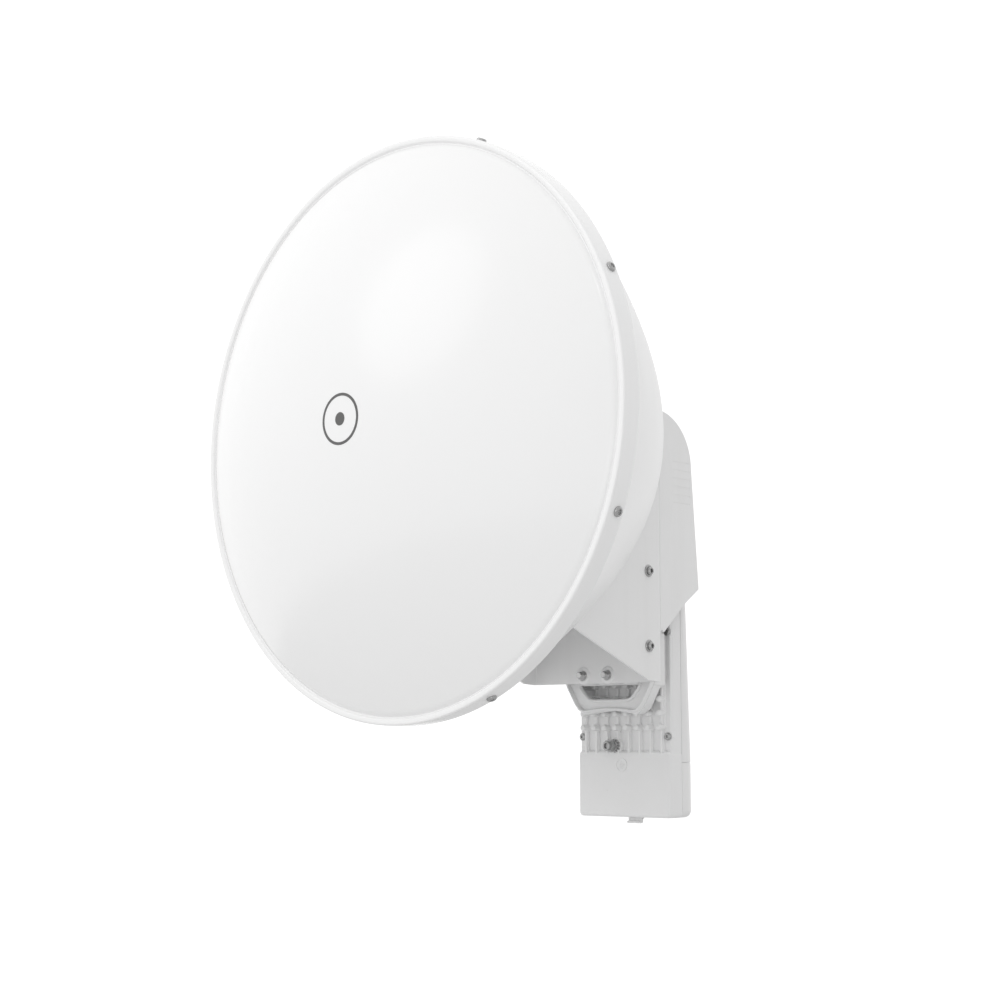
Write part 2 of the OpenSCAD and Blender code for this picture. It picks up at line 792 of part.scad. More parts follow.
module ethernet_jack() {
    y0 = board_y + board_t;
    color("dimgray") at_dish() difference() {
        box_x(port_jack_w, y0, y0 + port_jack_d, port_z - 8, port_z + 13);
        box_x(12, y0 + 2, y0 + 9, port_z - 9, port_z + 6);
        box_x(6, y0 + 2, y0 + 11.5, port_z - 9, port_z + 6);
    }
}

module reset_button() {
    color("black") at_dish() translate([button_x, button_y, port_z - 1.6]) {
        cylinder(r = button_r, h = wall + 2.4);
        translate([0, 0, wall + 1.6 + slide_gap / 3]) cylinder(r = button_r + 0.8, h = 1);
    }
}

// Side view of the port cover drawn as (Y, Z), with a round lower rear corner
module port_side(inset) {
    round = 8;
    top = port_z - slide_gap;
    back = cover_back_y - inset;
    bottom = inset - radio_drop;
    front = seam_y + slide_gap;
    translate([front, bottom]) square([back - round + inset - front, top - bottom + inset]);
    translate([front, bottom + round - inset]) square([back - front, top - bottom - round + 2 * inset]);
    translate([back - round + inset, bottom + round - inset]) circle(r = round - inset);
}

module port_shape(inset) {
    intersection() {
        translate([0, 0, -radio_drop - 1]) linear_extrude(height = port_cover_h + 20) cover_outline(inset);
        plate_in_x(-radio_w, radio_w) port_side(inset);
    }
}

module port_cover() {
    color("white") at_dish() difference() {
        port_shape(0);
        port_shape(wall);
        box_x(radio_w - 2 * wall, seam_y - 1, seam_y + 4, wall - radio_drop, port_z + 1);
        box_x(18, seam_y - 1, seam_y + 12, -radio_drop - 1, wall + 1 - radio_drop);
    }
}

module cover_latch() {
    color("white") at_dish() {
        box_x(latch_w, seam_y - 3, seam_y + 1.2, -radio_drop - 5, -radio_drop - slide_gap);
        box_x(latch_w - 4, seam_y + 0.6, seam_y + 3.5, -radio_drop - 2.3, -radio_drop - slide_gap);
    }
}

// ---- Pole bracket ----

// Outline of the bracket's cheek drawn as (Y, Z)
module cheek_outline() {
    translate([plate_y, plate_bottom]) square([bracket_t, plate_top - plate_bottom]);
    translate([plate_y, cheek_bottom]) square([pivot_y + 8 - plate_y, plate_top - cheek_bottom]);
    translate([pivot_y, pivot_z]) circle(r = 17);
    translate([pivot_y + 8, lock_z + 6]) circle(r = 18);
}

// A slot along an arc round the pivot
module tilt_slot(r) {
    half = r + slide_gap;
    intersection() {
        difference() {
            circle(r = lock_arc + half);
            circle(r = lock_arc - half);
        }
        polygon([[0, 0], for (s = [-1, 1]) [s * 2 * lock_arc * sin(tilt), -2 * lock_arc * cos(tilt)]]);
    }
    for (s = [-1, 1]) rotate(s * tilt) translate([0, -lock_arc]) circle(r = half - slot_step);
}

module pole_bracket() {
    x0 = cheek_x - bracket_t;
    color("gainsboro") at_dish() difference() {
        union() {
            plate_in_x(x0, cheek_x) cheek_outline();
            block([plate_end_x, plate_y, plate_bottom], [cheek_x, plate_y + bracket_t, plate_top]);
        }
        plate_in_x(x0 - 1, cheek_x + 1) {
            translate([pivot_y, pivot_z]) circle(r = bolt_r + pivot_gap);
            translate([pivot_y, pivot_z]) tilt_slot(side_bolt_r);
        }
        clamp_bolt_places() rod_y(0, 0, plate_y - 1, plate_y + bracket_t + 1, bolt_r + bolt_gap);
    }
}

module clamp_places() {
    for (s = [-1, 1]) translate([pole_x, pole_y, clamp_z + s * clamp_spacing / 2]) children();
}

module clamp_bolt_places() {
    for (x = [-clamp_bolt_x, clamp_bolt_x], s = [-1, 1])
        translate([pole_x + x, 0, clamp_z + s * clamp_spacing / 2]) children();
}

module pole_saddles() {
    color("silver") at_dish() clamp_places() difference() {
        block([-saddle_half_w, -pole_r - saddle_t, -clamp_h / 2], [saddle_half_w, -seat_half, clamp_h / 2]);
        cylinder(r = seat_r, h = clamp_h + 2, center = true);
        for (x = [-clamp_bolt_x, clamp_bolt_x]) rod_y(x, 0, -99, 0, bolt_r + bolt_gap);
        relief(1);
    }
}

// Side pockets that lighten a saddle or a jaw
module relief(s) {
    for (x = [-1, 1], z = [-1, 1])
        translate([x * (saddle_half_w + 2), -s * (pole_r + saddle_t), z * (clamp_h / 2 + 3)])
            along_y() cylinder(r = 8, h = 200, center = true);
}

module jaw() {
    difference() {
        block([-saddle_half_w, seat_half, -clamp_h / 2], [saddle_half_w, jaw_back, clamp_h / 2]);
        cylinder(r = seat_r, h = clamp_h + 2, center = true);
        for (x = [-clamp_bolt_x, clamp_bolt_x]) rod_y(x, 0, 0, 99, bolt_r + slide_gap);
        relief(-1);
    }
}

module upper_jaw() {
    color("silver") at_dish() translate([pole_x, pole_y, clamp_z + clamp_spacing / 2]) jaw();
}

module lower_jaw() {
    color("silver") at_dish() translate([pole_x, pole_y, clamp_z - clamp_spacing / 2]) jaw();
}

module clamp_bolts() {
    end_y = pole_y + jaw_back + washer_t + nut_t + jaw_travel + 3;
    color("silver") at_dish() clamp_bolt_places() {
        rod_y(0, 0, plate_y - 1, end_y, bolt_r);
        translate([0, plate_y, 0]) rotate([90, 0, 0]) {
            cylinder(r = bolt_r * 2, h = 2);
            translate([0, 0, 2]) cylinder(r1 = bolt_r * 2, r2 = bolt_r, h = 2.4);
        }
    }
}

module jaw_washers(s) {
    for (x = [-clamp_bolt_x, clamp_bolt_x]) translate([pole_x + x, pole_y + jaw_back, clamp_z + s * clamp_spacing / 2])
        along_y() difference() {
            cylinder(r = bolt_r * 2, h = washer_t);
            translate([0, 0, -1]) cylinder(r = bolt_r + pivot_gap * 2, h = washer_t + 2);
        }
}

module jaw_nuts(s) {
    for (x = [-clamp_bolt_x, clamp_bolt_x])
        translate([pole_x + x, pole_y + jaw_back + washer_t, clamp_z + s * clamp_spacing / 2])
        along_y() difference() {
            cylinder(r = nut_r, h = nut_t, $fn = 6);
            translate([0, 0, -1]) cylinder(r = bolt_r + pivot_gap, h = nut_t + 2);
        }
}

module upper_washers() { color("silver") at_dish() jaw_washers(1); }

module lower_washers() { color("silver") at_dish() jaw_washers(-1); }

module upper_nuts() { color("silver") at_dish() jaw_nuts(1); }

module lower_nuts() { color("silver") at_dish() jaw_nuts(-1); }

module pivot_bolt() {
    x0 = cheek_x - bracket_t;
    color("silver") at_dish() {
        hex_x(pivot_y, pivot_z, x0 - bolt_d * 0.65, x0, nut_r);
        rod_x(pivot_y, pivot_z, x0 - 1, channel_t - channel_w / 2 + nut_t + 3, bolt_r);
    }
}

module pivot_nut() {
    x0 = channel_t - channel_w / 2 + 0.1;
    color("silver") at_dish() difference() {
        hex_x(pivot_y, pivot_z, x0, x0 + nut_t, nut_r);
        rod_x(pivot_y, pivot_z, x0 - 1, x0 + nut_t + 1, bolt_r + pivot_gap / 2);
    }
}

module friction_washer() {
    color("dimgray") at_dish() difference() {
        rod_x(pivot_y, pivot_z, cheek_x, cheek_x + pivot_washer_t - pivot_gap, 15);
        rod_x(pivot_y, pivot_z, cheek_x - 1, 0, bolt_r + pivot_gap);
    }
}

module lock_bolt() {
    x0 = cheek_x - bracket_t - 0.1 - washer_t;
    color("silver") at_dish() {
        translate([x0, pivot_y, lock_z]) rotate([0, -90, 0]) button_head(5.2, 3.6, 2);
        rod_x(pivot_y, lock_z, x0 - 1, channel_t - channel_w / 2 + 8, side_bolt_r);
    }
}

module lock_washer() {
    x0 = cheek_x - bracket_t - 0.1;
    color("silver") at_dish() difference() {
        rod_x(pivot_y, lock_z, x0 - washer_t, x0, 7);
        rod_x(pivot_y, lock_z, x0 - washer_t - 1, x0 + 1, side_bolt_r + pivot_gap);
    }
}

module lock_nut() {
    x0 = channel_t - channel_w / 2;
    color("silver") at_dish() difference() {
        hex_x(pivot_y, lock_z, x0, x0 + 5, 5.4);
        rod_x(pivot_y, lock_z, x0 - 1, x0 + 6, side_bolt_r + pivot_gap);
    }
}

radome();
radome_gasket();
radome_screws();
reflector();
hub_plate();
hub_bolts();
hub_nuts();
feed_tube();
feed_support();
subreflector();
feed_hub();
feed_jacks();
left_jumper();
right_jumper();
jumper_nuts();
hub_channel();
rear_wings();
side_bolts();
radio_mount();
mount_bolts();
heat_sink();
rear_cover();
cover_gasket();
circuit_board();
rf_shield();
rf_jacks();
ethernet_jack();
reset_button();
corner_screws();
ground_screw();
ground_washer();
port_cover();
cover_latch();
pole_bracket();
pole_saddles();
clamp_bolts();
upper_jaw();
lower_jaw();
upper_washers();
lower_washers();
upper_nuts();
lower_nuts();
pivot_bolt();
pivot_nut();
friction_washer();
lock_bolt();
lock_washer();
lock_nut();
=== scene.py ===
# %% [markdown]
# # An outdoor wireless bridge
# A domed dish antenna stands on a bent-metal channel, with a finned radio unit on its back and a
# clamp bracket that holds it to a pole. The packed CAD model is the frame: it fixes every size and
# every joint. This notebook gives the frame its looks, piece by piece. It begins by loading the
# frame.

# %% Load the frame
import json
import math

import bmesh
import bpy
import numpy as np
from mathutils import Matrix, Vector

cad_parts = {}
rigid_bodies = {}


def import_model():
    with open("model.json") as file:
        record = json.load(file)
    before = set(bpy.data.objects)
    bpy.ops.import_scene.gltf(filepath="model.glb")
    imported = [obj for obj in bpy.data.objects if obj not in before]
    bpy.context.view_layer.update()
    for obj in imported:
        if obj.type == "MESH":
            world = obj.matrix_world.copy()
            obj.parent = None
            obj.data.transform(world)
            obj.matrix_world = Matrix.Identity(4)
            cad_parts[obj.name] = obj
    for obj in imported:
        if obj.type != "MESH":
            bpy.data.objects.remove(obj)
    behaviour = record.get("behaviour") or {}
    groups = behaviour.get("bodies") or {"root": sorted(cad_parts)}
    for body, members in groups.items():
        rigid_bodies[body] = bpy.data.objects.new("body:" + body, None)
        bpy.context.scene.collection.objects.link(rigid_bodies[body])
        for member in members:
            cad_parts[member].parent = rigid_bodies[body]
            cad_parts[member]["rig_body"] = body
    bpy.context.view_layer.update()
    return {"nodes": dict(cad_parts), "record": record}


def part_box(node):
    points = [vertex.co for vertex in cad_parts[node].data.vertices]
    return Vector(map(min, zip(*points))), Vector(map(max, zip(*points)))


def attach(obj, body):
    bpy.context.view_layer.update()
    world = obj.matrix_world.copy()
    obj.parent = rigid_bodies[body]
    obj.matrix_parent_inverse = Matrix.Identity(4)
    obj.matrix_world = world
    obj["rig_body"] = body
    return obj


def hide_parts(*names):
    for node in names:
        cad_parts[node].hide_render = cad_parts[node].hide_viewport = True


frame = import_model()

MM = 0.001

# %% [markdown]
# The dish is the largest piece, so most places are given from it: the centre of its rim, the
# radius over the radome's skirt, and the plane of the rim. The radome's box gives all three,
# because the skirt ends a known depth behind the rim's plane. The places could be typed in, but
# then they would drift apart from the frame whenever a size there changed.

# %% Places taken from the frame
RIM_DEPTH = 12 * MM
radome_low, radome_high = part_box("radome")
DISH_R = (radome_high.x - radome_low.x) / 2
RIM = Vector(((radome_low.x + radome_high.x) / 2, radome_high.y - RIM_DEPTH,
              (radome_low.z + radome_high.z) / 2))
sink_low, sink_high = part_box("heat_sink")
channel_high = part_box("hub_channel")[1]
print("rim centre", RIM[:], "dish radius", DISH_R)

# %% [markdown]
# The camera looks slightly upwards at the dish from its front right. It is placed from the rim's
# centre, by a heading, a pitch and an offset. The matrix is built from three axes: the camera
# looks along its own -Z, so the third column is the direction back from the scene. A Track To
# constraint could aim it too, but three numbers are easier to adjust one at a time.

# %% Camera
def look(heading, pitch):
    """Right, up and back axes of a camera turned by a heading round Z and tipped by a pitch."""
    back = Vector((math.sin(heading) * math.cos(pitch), -math.cos(heading) * math.cos(pitch),
                   math.sin(pitch)))
    right = Vector((math.cos(heading), math.sin(heading), 0.0))
    return right, back.cross(right), back


def make_camera(offset, heading, pitch, lens):
    """A camera at an offset from the rim's centre."""
    data = bpy.data.cameras.new("camera")
    data.lens, data.sensor_width = lens, 36.0
    data.clip_start, data.clip_end = 0.05, 50.0
    camera = bpy.data.objects.new("camera", data)
    turn = Matrix(look(heading, pitch)).transposed().to_4x4()
    camera.matrix_world = Matrix.Translation(RIM + offset) @ turn
    bpy.context.scene.collection.objects.link(camera)
    bpy.context.scene.camera = camera
    return camera


CAMERA_OFFSET = Vector((868.05, -831.5, -200.91)) * MM
HEADING, PITCH_DOWN, LENS = 43.118, -7.348, 68.4
camera = make_camera(CAMERA_OFFSET, math.radians(HEADING), math.radians(PITCH_DOWN), LENS)
print("camera at", camera.matrix_world.translation[:], "with a lens of", LENS, "mm")

# %% [markdown]
# A white object on white needs light that separates its faces. Most of it comes from a white
# surround that is brighter on the left than on the right, so the channel's side reads darker than
# the dome. A soft key from the front left shapes the dome, a small strip gives the metal heads a
# highlight, and a low fill reaches into the gaps between the wing and the radio. A single even
# surround would be simpler, but it would flatten every edge.

# %% World and lights
def soft_light(name, place, target, size, power):
    """An area light at a place from the rim's centre, turned towards a target."""
    data = bpy.data.lights.new(name, "AREA")
    data.shape, data.size, data.energy = "DISK", size, power
    light = bpy.data.objects.new(name, data)
    aim = (RIM + Vector(target)) - (RIM + Vector(place))
    turn = aim.to_track_quat("-Z", "Y").to_matrix().to_4x4()
    light.matrix_world = Matrix.Translation(RIM + Vector(place)) @ turn
    bpy.context.scene.collection.objects.link(light)
    return light


def studio_world(bright, dim, start, end):
    """A white surround that falls from bright to dim between two values of its direction's X."""
    world = bpy.data.worlds.new("surround")
    world.use_nodes = True
    nodes, links = world.node_tree.nodes, world.node_tree.links
    place, split, fall = (nodes.new(kind) for kind in
                          ("ShaderNodeTexCoord", "ShaderNodeSeparateXYZ", "ShaderNodeMapRange"))
    fall.interpolation_type = "SMOOTHSTEP"
    for name, value in (("From Min", start), ("From Max", end), ("To Min", bright), ("To Max", dim)):
        fall.inputs[name].default_value = value
    background = nodes["Background"]
    background.inputs["Color"].default_value = (1.0, 1.0, 1.0, 1.0)
    links.new(place.outputs["Generated"], split.inputs[0])
    links.new(split.outputs["X"], fall.inputs["Value"])
    links.new(fall.outputs["Result"], background.inputs["Strength"])
    bpy.context.scene.world = world


studio_world(1.12, 0.77, -0.1, 0.75)
soft_light("key", (-1.3, -2.2, 1.5), (0, 0, 0), 1.6, 6)
soft_light("strip", (1.2, -1.6, 1.6), (0, 0.2, -0.1), 0.3, 1.2)
soft_light("front_fill", (1.0, -1.1, -0.3), (0, 0.2, -0.14), 0.8, 1.4)
bpy.context.scene.view_settings.view_transform = "Standard"

# %% [markdown]
# ## Shader maths as Python
# A material is a graph of nodes, and long sums of Math nodes are hard to read as code. So one
# small class wraps a socket and overloads the arithmetic operators: `1 - mask * 0.3` then adds
# the Math nodes by itself. The graph could be drawn by hand in the editor, but then nobody could
# read what it computes.

# %% The socket class
class Value:
    """One number or vector in a material's graph. Arithmetic on it adds Math nodes."""

    def __init__(self, finish, socket):
        self.finish, self.socket = finish, socket

    def _math(self, operation, first, second=0.0, clamp=False):
        settings = {"operation": operation, "use_clamp": clamp}
        return self.finish.out("ShaderNodeMath", 0, settings, {0: first, 1: second})

    def __add__(self, other):
        return self._math("ADD", self, other)

    def __radd__(self, other):
        return self._math("ADD", other, self)

    def __sub__(self, other):
        return self._math("SUBTRACT", self, other)

    def __rsub__(self, other):
        return self._math("SUBTRACT", other, self)

    def __mul__(self, other):
        return self._math("MULTIPLY", self, other)

    def __rmul__(self, other):
        return self._math("MULTIPLY", other, self)

    def clamped(self):
        return self._math("ADD", self, 0.0, clamp=True)

    def wave(self):
        return self._math("SINE", self)


print("operators:", [name for name in vars(Value) if name.strip("_") in ("add", "sub", "mul")])

# %% [markdown]
# A finish is one material while it is being made. Every node other than sums comes from one method
# that takes the node's type, its settings and its sockets' values. The short methods after it are
# the few nodes that nearly all finishes need. Colours go through Mix nodes, since a Math node
# would make them grey.

# %% The finish class
class Finish:
    """A material under construction: its graph, its shader, and the nodes most finishes need."""

    def __init__(self, name):
        self.material = bpy.data.materials.new(name)
        self.material.use_nodes = True
        self.tree = self.material.node_tree
        self.shader = self.tree.nodes["Principled BSDF"]
        coordinates = self.tree.nodes.new("ShaderNodeTexCoord")
        self.place = Value(self, coordinates.outputs["Object"])
        self.uv = Value(self, coordinates.outputs["UV"])

    def node(self, kind, settings=(), values=()):
        """Adds any node: its settings first, then the values or links of its sockets."""
        node = self.tree.nodes.new(kind)
        for key, value in dict(settings).items():
            setattr(node, key, value)
        for key, value in dict(values).items():
            if isinstance(value, Value):
                self.tree.links.new(value.socket, node.inputs[key])
            else:
                node.inputs[key].default_value = value
        return node

    def out(self, kind, output, settings=(), values=()):
        """The named output of a new node, ready for arithmetic."""
        return Value(self, self.node(kind, settings, values).outputs[output])

    def mapped(self, scale=(1, 1, 1), turn=(0, 0, 0), source=None):
        """Object coordinates, stretched and turned."""
        return self.out("ShaderNodeMapping", "Vector", {},
                        {"Vector": source or self.place, "Scale": scale, "Rotation": turn})

    def noise(self, scale, detail=2.0, rough=0.5, where=None):
        """Cloudy noise from 0 to 1; scale counts its blotches per metre."""
        return self.out("ShaderNodeTexNoise", "Fac", {},
                        {"Vector": where or self.place, "Scale": scale, "Detail": detail,
                         "Roughness": rough})

    def ramp(self, factor, low, high):
        """0 below low, 1 above high, and even in between."""
        values = {"Value": factor, "From Min": low, "From Max": high}
        return self.out("ShaderNodeMapRange", "Result", {}, values)

    def mix(self, factor, first, second):
        """A colour between two colours."""
        return self.out("ShaderNodeMix", 2, {"data_type": "RGBA"}, {0: factor, 6: first, 7: second})

    def bump(self, height, distance, strength=1.0, after=None):
        """A surface bumped by a height; distance is the height's depth in metres."""
        values = {"Height": height, "Distance": distance, "Strength": strength}
        if after is not None:
            values["Normal"] = after
        return self.out("ShaderNodeBump", "Normal", {}, values)

    def set(self, **sockets):
        """Links or sets the shader's own sockets; an underscore stands for a space."""
        for key, value in sockets.items():
            socket = self.shader.inputs[key.replace("_", " ")]
            if isinstance(value, Value):
                self.tree.links.new(value.socket, socket)
            else:
                socket.default_value = value
        return self.material


def grey(value, warm=0.0):
    """A near-grey colour; a positive warmth lowers the blue a little."""
    return (value + warm, value, value - warm, 1.0)


print("a warm grey:", grey(0.8, 0.01))

# %% [markdown]
# ## The finishes
# Nearly everything here is white, so the finishes differ in surface rather than in colour. Powder
# coat has a fine orange-peel ripple; the castings are coarser and slightly pitted; the moulded
# covers have a fine spark-eroded grain; the radome is glossy with a faint waviness. Each one
# also drifts a little in tone, because no large painted sheet is perfectly even. An image could
# carry all this, but a pattern in Object coordinates has no seams and the same scale everywhere.

# %% Slow drift and streaks
def tone(finish, base, drift, scale=14.0):
    """A base grey that drifts slowly over the surface."""
    cloud = finish.noise(scale, 3.0, 0.55)
    return finish.mix(cloud, grey(base - drift, 0.002), grey(base + drift * 0.5, -0.002))


def streaks(finish, amount):
    """Faint upright weather streaks, from 0 to the amount."""
    thin = finish.noise(60.0, 4.0, 0.6, finish.mapped((1.0, 1.0, 0.06)))
    return finish.ramp(thin, 0.52, 0.78) * amount


print("a slightly cool mid grey:", grey(0.5, 0.002))

# %% [markdown]
# Powder coat is baked on and levels out, so it keeps only a fine orange peel. The paint on the
# castings is thin and lets their coarse grain through. One finish could do for both, but these two
# grains are what tells sheet from casting, so each has its own bump.

# %% Paints on sheet and castings
def powder_coat(name, base, rough=0.42):
    """White powder coat over sheet metal: orange peel, slow drift and faint streaks."""
    finish = Finish(name)
    colour = finish.mix(streaks(finish, 0.25), tone(finish, base, 0.018), grey(base * 0.9, 0.006))
    peel = finish.noise(1500.0, 2.0, 0.45)
    pits = finish.noise(5200.0, 1.0, 0.5)
    surface = finish.bump(peel, 0.00006, 0.55, finish.bump(pits, 0.00003, 0.3))
    gloss = rough + (finish.noise(35.0, 2.0) - 0.5) * 0.08
    return finish.set(Base_Color=colour, Roughness=gloss, Normal=surface, Coat_Weight=0.12,
                      Coat_Roughness=0.25)


def cast_paint(name, base):
    """Thin paint over a die casting: a coarse, soft grain with a few pits."""
    finish = Finish(name)
    grain = finish.noise(900.0, 4.0, 0.6)
    pits = finish.ramp(finish.noise(420.0, 2.0), 0.72, 0.8)
    colour = finish.mix(pits * 0.35, tone(finish, base, 0.022, 30.0), grey(base * 0.82, 0.004))
    surface = finish.bump(grain - pits * 0.5, 0.00012, 0.5)
    return finish.set(Base_Color=colour, Roughness=0.5 + grain * 0.08, Normal=surface)


PAINT = powder_coat("white_powder_coat", 0.84)
BOWL_PAINT = powder_coat("bowl_powder_coat", 0.84, 0.36)
CAST = cast_paint("cast_paint", 0.82)
print("paints:", len(bpy.data.materials))

# %% [markdown]
# The radome is thermoformed from a glossy sheet and waves a little; the covers are moulded, with a
# fine grain eroded into the mould. A clear coat in the shader gives the gloss over the colour, where
# a lower roughness alone would lose the soft base beneath it.

# %% Plastics outside, and the mark's ink
def moulded(name, base, rough=0.38):
    """Moulded weatherproof plastic: a fine eroded grain and a slight flow drift."""
    finish = Finish(name)
    flow = finish.noise(9.0, 2.0, 0.5, finish.mapped((1.0, 1.0, 0.35)))
    colour = finish.mix(flow, grey(base - 0.014, 0.003), grey(base + 0.008, -0.001))
    grain = finish.noise(3600.0, 2.0, 0.5)
    return finish.set(Base_Color=colour, Roughness=rough + (flow - 0.5) * 0.1,
                      Normal=finish.bump(grain, 0.00004, 0.5), Coat_Weight=0.08, Coat_Roughness=0.3)


def radome_gloss(name, base):
    """Glossy thermoformed sheet: slow waviness, and a few specks of settled dust."""
    finish = Finish(name)
    cell = finish.out("ShaderNodeTexVoronoi", "Distance", {}, {"Vector": finish.place, "Scale": 55.0})
    chance = finish.noise(23.0, 1.0, 0.5)
    speck = (0.05 - cell).clamped() * 16.0 * finish.ramp(chance, 0.62, 0.66)
    colour = finish.mix(speck.clamped() * 0.35, tone(finish, base, 0.012, 5.0), grey(0.62, 0.01))
    wavy = finish.noise(9.0, 1.0, 0.4)
    peel = finish.noise(420.0, 1.0, 0.4)
    surface = finish.bump(wavy, 0.0012, 0.25, finish.bump(peel, 0.00003, 0.25))
    film = finish.noise(18.0, 4.0, 0.6)
    return finish.set(Base_Color=colour, Roughness=0.2 + film * 0.1, Normal=surface,
                      Coat_Weight=0.35, Coat_Roughness=0.12)


RADOME = radome_gloss("radome_gloss", 0.9)
COVER = moulded("cover_plastic", 0.80)
INK = moulded("mark_ink", 0.1, 0.3)
print("white finishes and ink:", len(bpy.data.materials))

# %% [markdown]
# The metals need direction: turned parts carry fine rings, drawn bars carry long lines, and zinc
# plate is mottled. A stretched noise gives the lines, and a Voronoi gives the zinc's spangle.

# %% Metal finishes
def plated_steel(name, base, rough=0.3):
    """Zinc-plated steel: spangled, with fine turning lines and duller patches."""
    finish = Finish(name)
    spangle = finish.out("ShaderNodeTexVoronoi", "Color", {}, {"Vector": finish.place, "Scale": 900.0})
    patch = finish.noise(260.0, 3.0, 0.6)
    shade = finish.out("ShaderNodeSeparateColor", 0, {}, {0: spangle})
    colour = finish.mix(shade * 0.4 + patch * 0.4, grey(base * 0.78, 0.004), grey(base, -0.006))
    lines = finish.noise(700.0, 2.0, 0.5, finish.mapped((6.0, 0.4, 6.0)))
    return finish.set(Base_Color=colour, Metallic=1.0, Roughness=rough + patch * 0.16,
                      Normal=finish.bump(lines, 0.00003, 0.35))


def machined_aluminium(name, base):
    """Milled aluminium: shallow parallel tool marks and a soft drift in gloss."""
    finish = Finish(name)
    marks = finish.noise(90.0, 3.0, 0.6, finish.mapped((1.0, 1.0, 22.0), (0.0, 0.0, 0.15)))
    patch = finish.noise(45.0, 3.0, 0.6)
    colour = finish.mix(patch, grey(base * 0.86, 0.0), grey(base, -0.004))
    return finish.set(Base_Color=colour, Metallic=1.0, Roughness=0.3 + marks * 0.2,
                      Normal=finish.bump(marks, 0.00005, 0.4))


def gold_plate(name):
    """Gold-flashed brass on the coaxial jacks, a little darker where it is handled."""
    finish = Finish(name)
    worn = finish.noise(380.0, 3.0, 0.6)
    colour = finish.mix(finish.ramp(worn, 0.45, 0.75), (0.83, 0.62, 0.26, 1.0), (0.62, 0.43, 0.18, 1.0))
    return finish.set(Base_Color=colour, Metallic=1.0, Roughness=0.22 + worn * 0.15)


def woven_braid(name, around=14.0, along=900.0):
    """Tinned braid: two sets of spiral strands worked out from the tube's own UV map."""
    finish = Finish(name)
    split = finish.node("ShaderNodeSeparateXYZ", {}, {0: finish.uv})
    turn, run = Value(finish, split.outputs[0]), Value(finish, split.outputs[1])
    left = (turn * (2 * math.pi * around) + run * along).wave()
    right = (turn * (2 * math.pi * around) - run * along).wave()
    weave = left * right * 0.5 + 0.5
    colour = finish.mix(weave, grey(0.32, 0.004), grey(0.72, -0.004))
    return finish.set(Base_Color=colour, Metallic=0.9, Roughness=0.34,
                      Normal=finish.bump(weave, 0.00015, 0.6))


STEEL = plated_steel("plated_steel", 0.48)
BRIGHT = plated_steel("bright_screws", 0.52, 0.13)
ALUMINIUM = machined_aluminium("machined_aluminium", 0.66)
GOLD = gold_plate("gold_plate")
BRAID = woven_braid("woven_braid")
print("with the metals:", len(bpy.data.materials))

# %% [markdown]
# The last finishes are for what hides inside or seals the joints: rubber with bloom, the clear
# cream plastic that holds the feed's tip, the green board with its tracks, and dark mouldings.

# %% Rubber, plastics and the board
def matt_rubber(name, base=0.045):
    """Dark rubber with a dusty bloom on it."""
    finish = Finish(name)
    bloom = finish.noise(160.0, 4.0, 0.65)
    colour = finish.mix(finish.ramp(bloom, 0.45, 0.8), grey(base), grey(base * 2.6, 0.004))
    return finish.set(Base_Color=colour, Roughness=0.78 + bloom * 0.12,
                      Normal=finish.bump(finish.noise(2400.0), 0.00005, 0.5))


def dark_moulding(name, base=0.03):
    """Black moulded plastic with a fine grain."""
    finish = Finish(name)
    grain = finish.noise(3000.0)
    colour = finish.mix(finish.noise(70.0, 3.0), grey(base), grey(base * 1.9, 0.001))
    return finish.set(Base_Color=colour, Roughness=0.45 + grain * 0.1,
                      Normal=finish.bump(grain, 0.00004, 0.5))


def feed_plastic(name):
    """Turned cream dielectric, with fine rings from the lathe."""
    finish = Finish(name)
    rings = finish.noise(160.0, 2.0, 0.5, finish.mapped((0.5, 14.0, 0.5)))
    colour = finish.mix(rings, (0.78, 0.74, 0.62, 1.0), (0.86, 0.83, 0.72, 1.0))
    return finish.set(Base_Color=colour, Roughness=0.35, Normal=finish.bump(rings, 0.00008, 0.4),
                      Subsurface_Weight=0.15)


def solder_mask(name):
    """A circuit board: green mask over copper tracks that run in a stepped grid."""
    finish = Finish(name)
    track = finish.out("ShaderNodeTexBrick", "Fac", {"offset": 0.37, "squash": 1.0},
                       {"Vector": finish.mapped((1, 1, 1), (math.pi / 2, 0, 0)), "Scale": 180.0,
                        "Mortar Size": 0.03, "Brick Width": 0.9, "Row Height": 0.42})
    blotch = finish.noise(120.0, 2.0)
    colour = finish.mix(track * 0.8, (0.015, 0.16, 0.07, 1.0), (0.05, 0.3, 0.13, 1.0))
    return finish.set(Base_Color=finish.mix(blotch * 0.2, colour, (0.01, 0.1, 0.05, 1.0)), Roughness=0.3,
                      Normal=finish.bump(track, 0.00006, 0.5), Coat_Weight=0.3)


RUBBER = matt_rubber("matt_rubber")
DARK = dark_moulding("dark_moulding")
CREAM = feed_plastic("feed_plastic")
BOARD = solder_mask("solder_mask")
print("finishes:", len(bpy.data.materials))

# %% [markdown]
# ## Shapes
# Every new surface is worked out as whole numpy arrays, in millimetres from the rim's centre: +X
# to the right seen from the front, +Y back from the rim, +Z up. One function turns the arrays
# into a mesh, merges the seams and poles, points the faces outwards, and lets the piece ride with
# its CAD node's body. Blender's own primitives could be placed by hand, but a formula keeps every
# size in sight.

# %% From arrays to a piece
BODY = {name: node["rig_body"] for name, node in frame["nodes"].items()}


def tidy_mesh(mesh, gap=1e-6):
    """Merges doubles and points all faces outwards."""
    work = bmesh.new()
    work.from_mesh(mesh)
    bmesh.ops.remove_doubles(work, verts=work.verts, dist=gap)
    bmesh.ops.recalc_face_normals(work, faces=work.faces)
    work.to_mesh(mesh)
    work.free()


